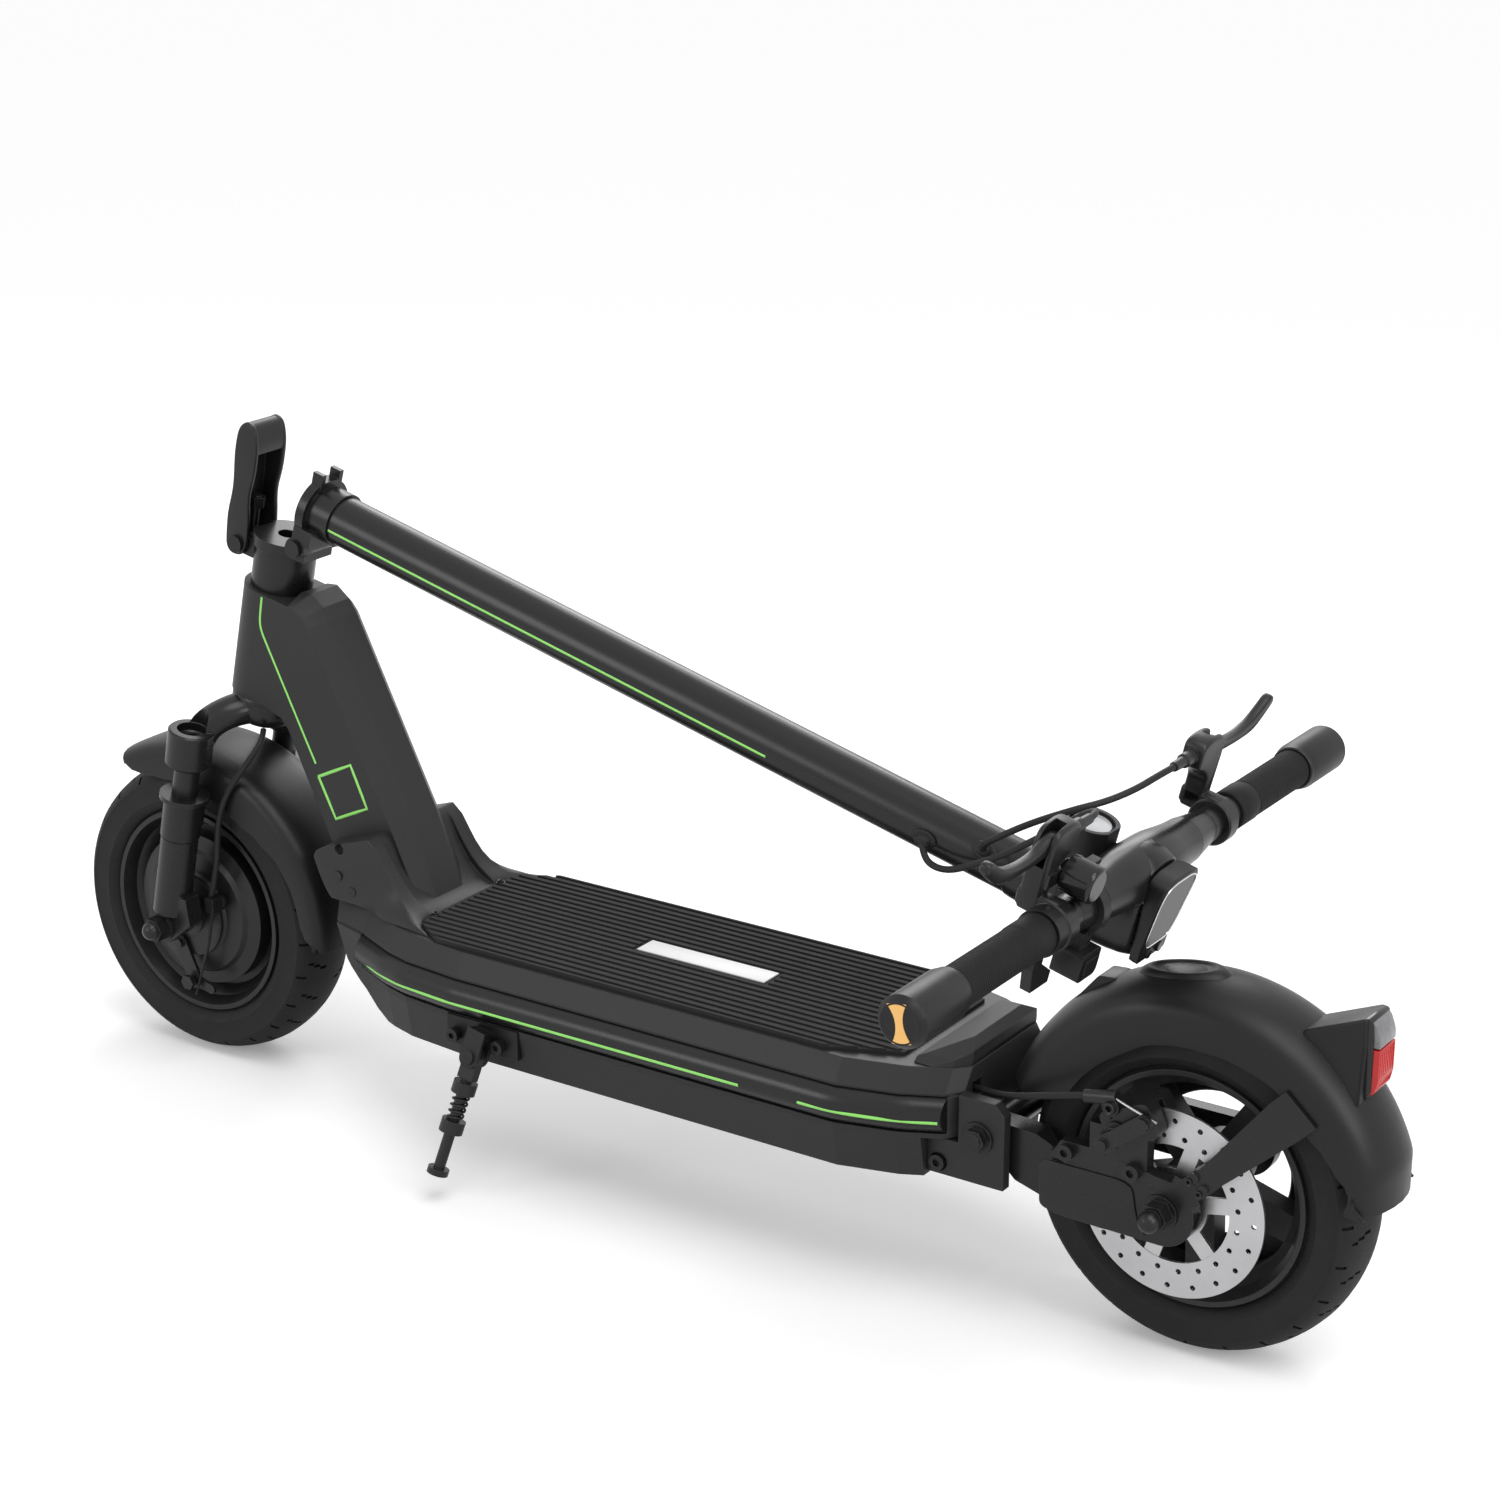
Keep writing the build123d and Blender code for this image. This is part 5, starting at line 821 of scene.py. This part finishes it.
cables = {
    "radius": 2.5,
    "left": [(122.5, 61.6, 722), (122, 48, 721), (115, 38.5, 712), (98, 37, 697), (76, 39, 679), (55, 40, 660),
             (36, 38, 640), (19, 33, 620), (14.5, 29.5, 604), (19, 26.5, 594.5), (26, 23.9, 590)],
    "right": [(122.5, -61.6, 722), (120.5, -46, 720), (112.5, -26, 714), (104.5, -5, 704), (97, 12, 690),
              (80, 25, 668), (62, 31, 650), (49, 29.5, 638.5), (40.1, 21, 636)],
    # rubber plug where a cable enters the stem: profile, then angle and height of each
    "plug": [(0.01, 0), (6.6, 0), (6.6, 1.2), (5.8, 2.1), (4.2, 2.4), (3.4, 6.5), (2.7, 7), (0.01, 7)],
    "plugs": {"Left": (96, 590), "Right": (61, 636)}, "plugStretch": (1.5, 1, 1), "plugReach": 20.05,
    # rear cable from the deck to the caliper, bowed aside by (part of the way, y, z)
    "rearStart": (-286, 40, 167), "ferrule": (rearX + 61.5, 69, 198.8),
    "bow": [(0.13, 0.3, -2.5), (0.3, 1.5, -4.5), (0.46, 1.5, -4), (0.64, 1, -2.5), (0.83, 0.5, -0.8)],
    "rearWire": [(-417.3, 71.2, 203.5), (-434, 73.5, 199.2), (-450, 75, 195.5)], "rearWireRadius": 0.9,
    # front cable down the fork, then the inner wire to the drum brake arm
    "front": [(-18.8, 24, -161), (-24.5, 31, -165), (-24, 37, -174), (-17, 41.5, -192), (-7, 44, -214),
              (-0.5, 44.5, -237), (-0.5, 44, -261), (-4, 44, -289)],
    "frontEnd": (438, 44, 153.7),
    "frontWire": [(438.3, 44, 139.5), (441, 44.4, 124), (444.5, 44.6, 107), (451, 44.3, 90), (456, 44, 76),
                  (462.2, 44, 58.5)],
    "frontWireRadius": 1.5, "frontWireTaper": [1, 1, 1, 0.8, 0.6, 0.55],
}
stemCableLeft = tube("stemCableLeft", cables["left"], cables["radius"], 12)
stemCableRight = tube("stemCableRight", cables["right"], cables["radius"], 12)
complete(stemCableLeft, "stem", "cableRubber", place=stemPlace, stands=["stem_cables"], slot="cable_rubber", smooth=60)
complete(stemCableRight, "stem", "cableRubber", place=stemPlace, slot="cable_rubber", smooth=60)
for side, (angle, along) in cables["plugs"].items():
    plug = turned("cablePlug" + side, cables["plug"], "Z", steps=32)
    plug.scale = cables["plugStretch"]
    turn = math.radians(angle)
    outward = Matrix.Rotation(turn, 4, "Z") @ Matrix.Rotation(math.pi / 2, 4, "Y")
    reach = cables["plugReach"]
    spot = Vector((stemAxis + reach * math.cos(turn), reach * math.sin(turn), along))
    plugPlace = stemPlace @ Matrix.Translation(spot * mm) @ outward
    complete(plug, "stem", "cableRubber", place=plugPlace, slot="cable_rubber")

start, end = Vector(cables["rearStart"]), Vector(cables["ferrule"])
route = [start] + [start + (end - start) * t + Vector((0, y, z)) for t, y, z in cables["bow"]] + [end]
rearCable = tube("rearBrakeCable", route, cables["radius"], 12)
rearWire = tube("rearBrakeWire", cables["rearWire"], cables["rearWireRadius"])
complete(rearCable, "swingarm", "cableRubber", stands=["rear_brake_cable"], slot="cable_rubber", smooth=60)
complete(rearWire, "swingarm", "steel", slot="steel")

route = [steerPlace @ (Vector(point) * mm) / mm for point in cables["front"]] + [Vector(cables["frontEnd"])]
frontCable = tube("frontBrakeCable", route, cables["radius"], 12)
frontWire = tube("frontBrakeWire", cables["frontWire"], cables["frontWireRadius"], taper=cables["frontWireTaper"])
complete(frontCable, "fork_lowers", "cableRubber", stands=["front_brake_cable"], slot="cable_rubber", smooth=60)
complete(frontWire, "fork_lowers", "cableRubber", slot="cable_rubber")
print("cables ready")

# front cover over the foot of the neck: leaning rings, one above the other
cover = {
    # front x, front z, rear z, then the rear edge from the corner to the middle
    "rings": [
        (299, 186.2, 186.2, [(177.5, 75.8), (190, 66), (204.4, 52), (204.4, 26), (204.4, 0)]),
        (302, 189.5, 188.8, [(192, 71), (199, 63), (206, 51), (206, 26), (206, 0)]),
        (305, 194, 191.5, [(205, 65), (207, 59), (209.5, 50), (210, 26), (210, 0)]),
        (308, 199.5, 195, [(213, 60), (214, 56), (215, 49), (215.5, 26), (215.5, 0)]),
        (310.5, 205, 200, [(221, 56.5), (221.6, 54), (222, 48), (222, 26), (222, 0)]),
        (313, 211, 207, [(228, 54.6), (228.6, 52.5), (229, 47), (229, 26), (229, 0)]),
        (315, 216, 216, [(235, 54), (235.6, 52), (236, 46), (236, 26), (236, 0)]),
        (315.6, 219, 226, [(241.5, 54), (242, 52), (242.5, 46), (242.5, 26), (242.5, 0)]),
        (313, 223.5, 235.5, [(247.5, 54), (248, 52), (248.5, 46), (248.5, 26), (248.5, 0)]),
        (306, 227.4, 243.6, [(257, 54), (257.5, 52), (258, 46), (258, 26), (258, 0)]),
    ],
    "flare": [(177, 76), (230, 69), (256, 57), (280, 54.6), (299, 54)],
    "spread": [1, 0.92, 0.72, 0.48, 0.26, 0.1, 0, 0, 0, 0],     # how much of the flare each ring takes
    "sideSteps": (0, 0.015, 0.1, 0.22, 0.34, 0.46, 0.58, 0.70, 0.82, 0.93),
    "half": 54, "nose": 30,
    "trough": [(209, 187.4), (220, 191.5), (232, 202), (243, 219), (251, 236), (262, 252), (170, 252), (170, 187.4)],
    "troughHalf": 41, "round": 3.4,
    "hole": (287.2, 229.9), "holeRadius": 4.6, "holeDepth": 12,
}


def flareAt(x):
    rows = cover["flare"]
    for (x0, y0), (x1, y1) in zip(rows, rows[1:]):
        if x0 <= x <= x1:
            t = (x - x0) / (x1 - x0)
            return y0 + (y1 - y0) * (ease(t) if y0 > 60 > y1 else t)
    return rows[-1][1] if x > rows[-1][0] else rows[0][1]


rings = []
for (frontX, frontZ, rearZ, rear), spread in zip(cover["rings"], cover["spread"]):
    side = []
    for t in cover["sideSteps"]:
        x = frontX + (rear[0][0] - frontX) * t
        half = cover["half"] + (flareAt(x) - cover["half"]) * spread
        side.append((x, half if t else half - 3))
    half = [(frontX, 0), (frontX, cover["nose"])] + side + rear
    plan = half + [(x, -y) for x, y in reversed(half[1:-1])]
    depth = frontX - rear[-1][0]
    rings.append([(x, y, frontZ + (rearZ - frontZ) * min(1, max(0, (frontX - x) / depth))) for x, y in plan])
castCover = lofted("baseCover", rings)
cut(castCover, plate("troughCutter", cover["trough"], -cover["troughHalf"], 2 * cover["troughHalf"]))
soften(castCover, cover["round"], 4, 42)
for side in (1, -1):
    bpy.ops.object.select_all(action="DESELECT")
    holeX, holeZ = cover["hole"]
    spot = (holeX * mm, side * cover["half"] * mm, holeZ * mm)
    bpy.ops.mesh.primitive_cylinder_add(vertices=32, radius=cover["holeRadius"] * mm, depth=cover["holeDepth"] * mm,
                                        location=spot, rotation=(math.pi / 2, 0, 0))
    cut(castCover, bpy.context.object)
complete(castCover, "frame", "frameGrey", stands=["base_cover"], smooth=38)

# socket screws, one modelled and the rest copied: body, place, side it faces (0 is up) and size
screw = {
    "profile": [(0.01, -1.2), (1.5, -1.2), (1.5, 0.9), (2.6, 1.4), (3.0, 1.0), (3.1, -0.6), (4.3, -0.6), (4.4, -1.5)],
    "spots": [("frame", (x, side * 54.2, z), side, 1.0) for x, z in ((289, 207), (275, 196)) for side in (1, -1)]
    + [("frame", (200.5, y, 190.4), 0, 0.9) for y in (42, -42)]
    + [("swingarm", (x, side * 75.4, z), side, 0.9) for side in (1, -1) for x, z in ((-475.9, 158.9), (-483.5, 151.7))]
    + [("swingarm", (-413.9, 74.6, 196.9), 1, 1.5), ("swingarm", (-418.2, 74.6, 178.6), 1, 1.9)],
}
firstScrew = turned("socketScrew", screw["profile"], "Z", steps=24)
for i, (body, spot, side, size) in enumerate(screw["spots"]):
    only(firstScrew)
    bpy.ops.object.duplicate()
    copy = bpy.context.object
    copy.name = "socketScrew%02d" % (i + 1)
    lay = Matrix.Rotation(-side * math.pi / 2, 4, "X") @ Matrix.Scale(size, 4)
    complete(copy, body, "blackSteel", place=Matrix.Translation(Vector(spot) * mm) @ lay, smooth=40)
bpy.data.objects.remove(firstScrew)

# raised cover on each side arm, its upper edge stepping down before the axle nut
armPlate = {
    "outline": [(-359, 139.5, 3), (-364, 143.6, 2), (-424, 143.8, 6), (-432, 140, 6), (-435.4, 121, 7),
                (-438, 113, 5), (-444, 106.6, 4), (-411, 103.2, 4), (-372, 104.4, 4), (-360.5, 108, 4)],
    "face": 69.9, "thick": 1.5,
}
# empty square on each side of the neck
neckSquare = {"corners": [(326.6, 276.5), (292.5, 292.8), (277, 259), (310, 243.6)], "face": 29.3, "radius": 1.5}
sides = {"Left": 1, "Right": -1}
for sideName, side in sides.items():
    raised = plate("armPlate" + sideName, armPlate["outline"], side * armPlate["face"], side * armPlate["thick"], 3)
    soften(raised, 0.5, 2)
    complete(raised, "swingarm", "satinBlack")
print("cover, screws and plates ready")
for sideName, side in sides.items():
    spots = [(x, side * neckSquare["face"], z) for x, z in neckSquare["corners"]]
    line = tube("neckSquare" + sideName, [p for p in spots for _ in (0, 1)] + spots[:1], neckSquare["radius"], 2, 2)
    complete(line, "frame", "limeStripe")

# brake lever housings: clamp ring, rounded arm with a slot for the blade, cable adjuster
housing = {
    "ring": [(12.75, 112), (16.4, 112), (17.6, 113.2), (17.6, 124.8), (16.4, 126), (12.75, 126)],
    "arm": [(72, 113, 4), (99, 113, 8), (108, 103, 8), (113, 90.5, 4), (132, 89, 6), (136, 101, 8), (134, 122, 8),
            (122, 126, 8), (72, 125.6, 4)],
    "low": 713.6, "high": 730.4,
    "slot": [(107, 106.5), (145, 106.5), (145, 140), (107, 140)], "slotLow": 717.6, "slotHigh": 726.4,
    "foot": [(74, 113, 712), (74, 125.6, 712), (74, 125.6, 744), (74, 113, 744)], "footDepth": 14,
    "bore": [(0.01, 100), (12.7, 100), (12.7, 140), (0.01, 140)],
    "adjuster": [(0.01, 92), (5.6, 92), (5.6, 86.4), (4.3, 85.6), (4.3, 84.6), (5.3, 84), (5.3, 76.5), (4, 75.4),
                 (3.6, 62), (2.6, 61.6), (0.01, 61.6)],
    "adjusterAxis": (122.5, 722),
}
clampRing = turned("clampRing", housing["ring"], middle=barAxis, steps=40, closed=True)
arm = plate("housingArm", housing["arm"], housing["low"], housing["high"] - housing["low"], 6, 5, flat=True)
soften(arm, 3.4, 4, 50)
cut(arm, plate("slotCutter", housing["slot"], housing["slotLow"], housing["slotHigh"] - housing["slotLow"], flat=True))
foot = drawnOut("housingFoot", housing["foot"], (housing["footDepth"], 0, 0))
soften(foot, 3, 3, 50)
cut(foot, turned("bore", housing["bore"], middle=barAxis, steps=40))
adjuster = turned("adjuster", housing["adjuster"], middle=housing["adjusterAxis"], steps=20)
housingLeft = joined("leverHousingLeft", arm, foot, clampRing, adjuster)
bothSides(housingLeft, "leverHousingRight", "stem", "blackAlloy", ["lever_brackets"], place=stemPlace,
          slot="black_alloy", smooth=36)

# domed glass in the headlight, its rim turned with it
headGlass = {
    "x": 86.7, "z": 700, "stretch": (0.86, 1, 1),
    "profile": [(0.01, 2.4), (6, 2.0), (11, 1.1), (14.5, 0.3), (16.2, 0.1), (16.2, -0.3)],
}
glassDisc = turned("headlightGlass", headGlass["profile"], "Z", steps=40)
glassDisc.scale = headGlass["stretch"]
glassSpot = Vector((headGlass["x"], 0, headGlass["z"])) * mm
glassPlace = stemPlace @ Matrix.Translation(glassSpot) @ Matrix.Rotation(math.pi / 2, 4, "Y")
complete(glassDisc, "stem", "frostedLens", place=glassPlace, smooth=60)
print("lever housings and headlight glass ready")

# fork crown: boss and column round the steering axis, two arms curving down into the stanchion lugs
crown = {
    "boss": [(8.2, -138.8), (28, -138.8), (29, -140.2), (29, -152), (26.5, -159), (20, -164.4), (8.2, -165.6)],
    "column": [(8.2, -150), (15, -150), (15, -22), (8.2, -22)],
    "arm": [(4, 2, -152), (5, 16, -152), (10, 30, -153.5), (18, 42, -161), (24, 49, -172), (25.5, 53, -187)],
    "armRadius": 13.5, "armWide": 1.22, "taper": [1.0, 0.98, 0.94, 0.9, 0.88, 0.84],
    "lug": [(12, -168), (17.6, -168), (19, -169.4), (19, -197.8), (17, -200), (10.7, -200), (10.7, -176.2), (12, -175)],
    "lugAxis": (25.5, 60), "drill": [(0.01, -140), (12.4, -140), (12.4, -215), (0.01, -215)],
}
crownParts = [turned("forkCrown", crown["boss"], "Z", steps=48, closed=True),
              turned("crownColumn", crown["column"], "Z", steps=40, closed=True)]
wide = crown["armWide"]
for side in (1, -1):
    spots = [(x / wide, side * y, z) for x, y, z in crown["arm"]]
    arm = tube("crownArm", spots, crown["armRadius"], 10, taper=crown["taper"])
    arm.scale = (wide, 1, 1)
    bpy.ops.object.transform_apply(scale=True)
    lugMiddle = (crown["lugAxis"][0], side * crown["lugAxis"][1])
    cut(arm, turned("lugDrill", crown["drill"], "Z", lugMiddle, 40))
    crownParts += [arm, turned("crownLug", crown["lug"], "Z", lugMiddle, 48, closed=True)]
crownPiece = joined("forkCrown", *crownParts)
complete(crownPiece, "fork", "satinBlack", place=steerPlace, stands=["fork_crown"], slot="black_alloy", smooth=40)
print("fork crown ready")
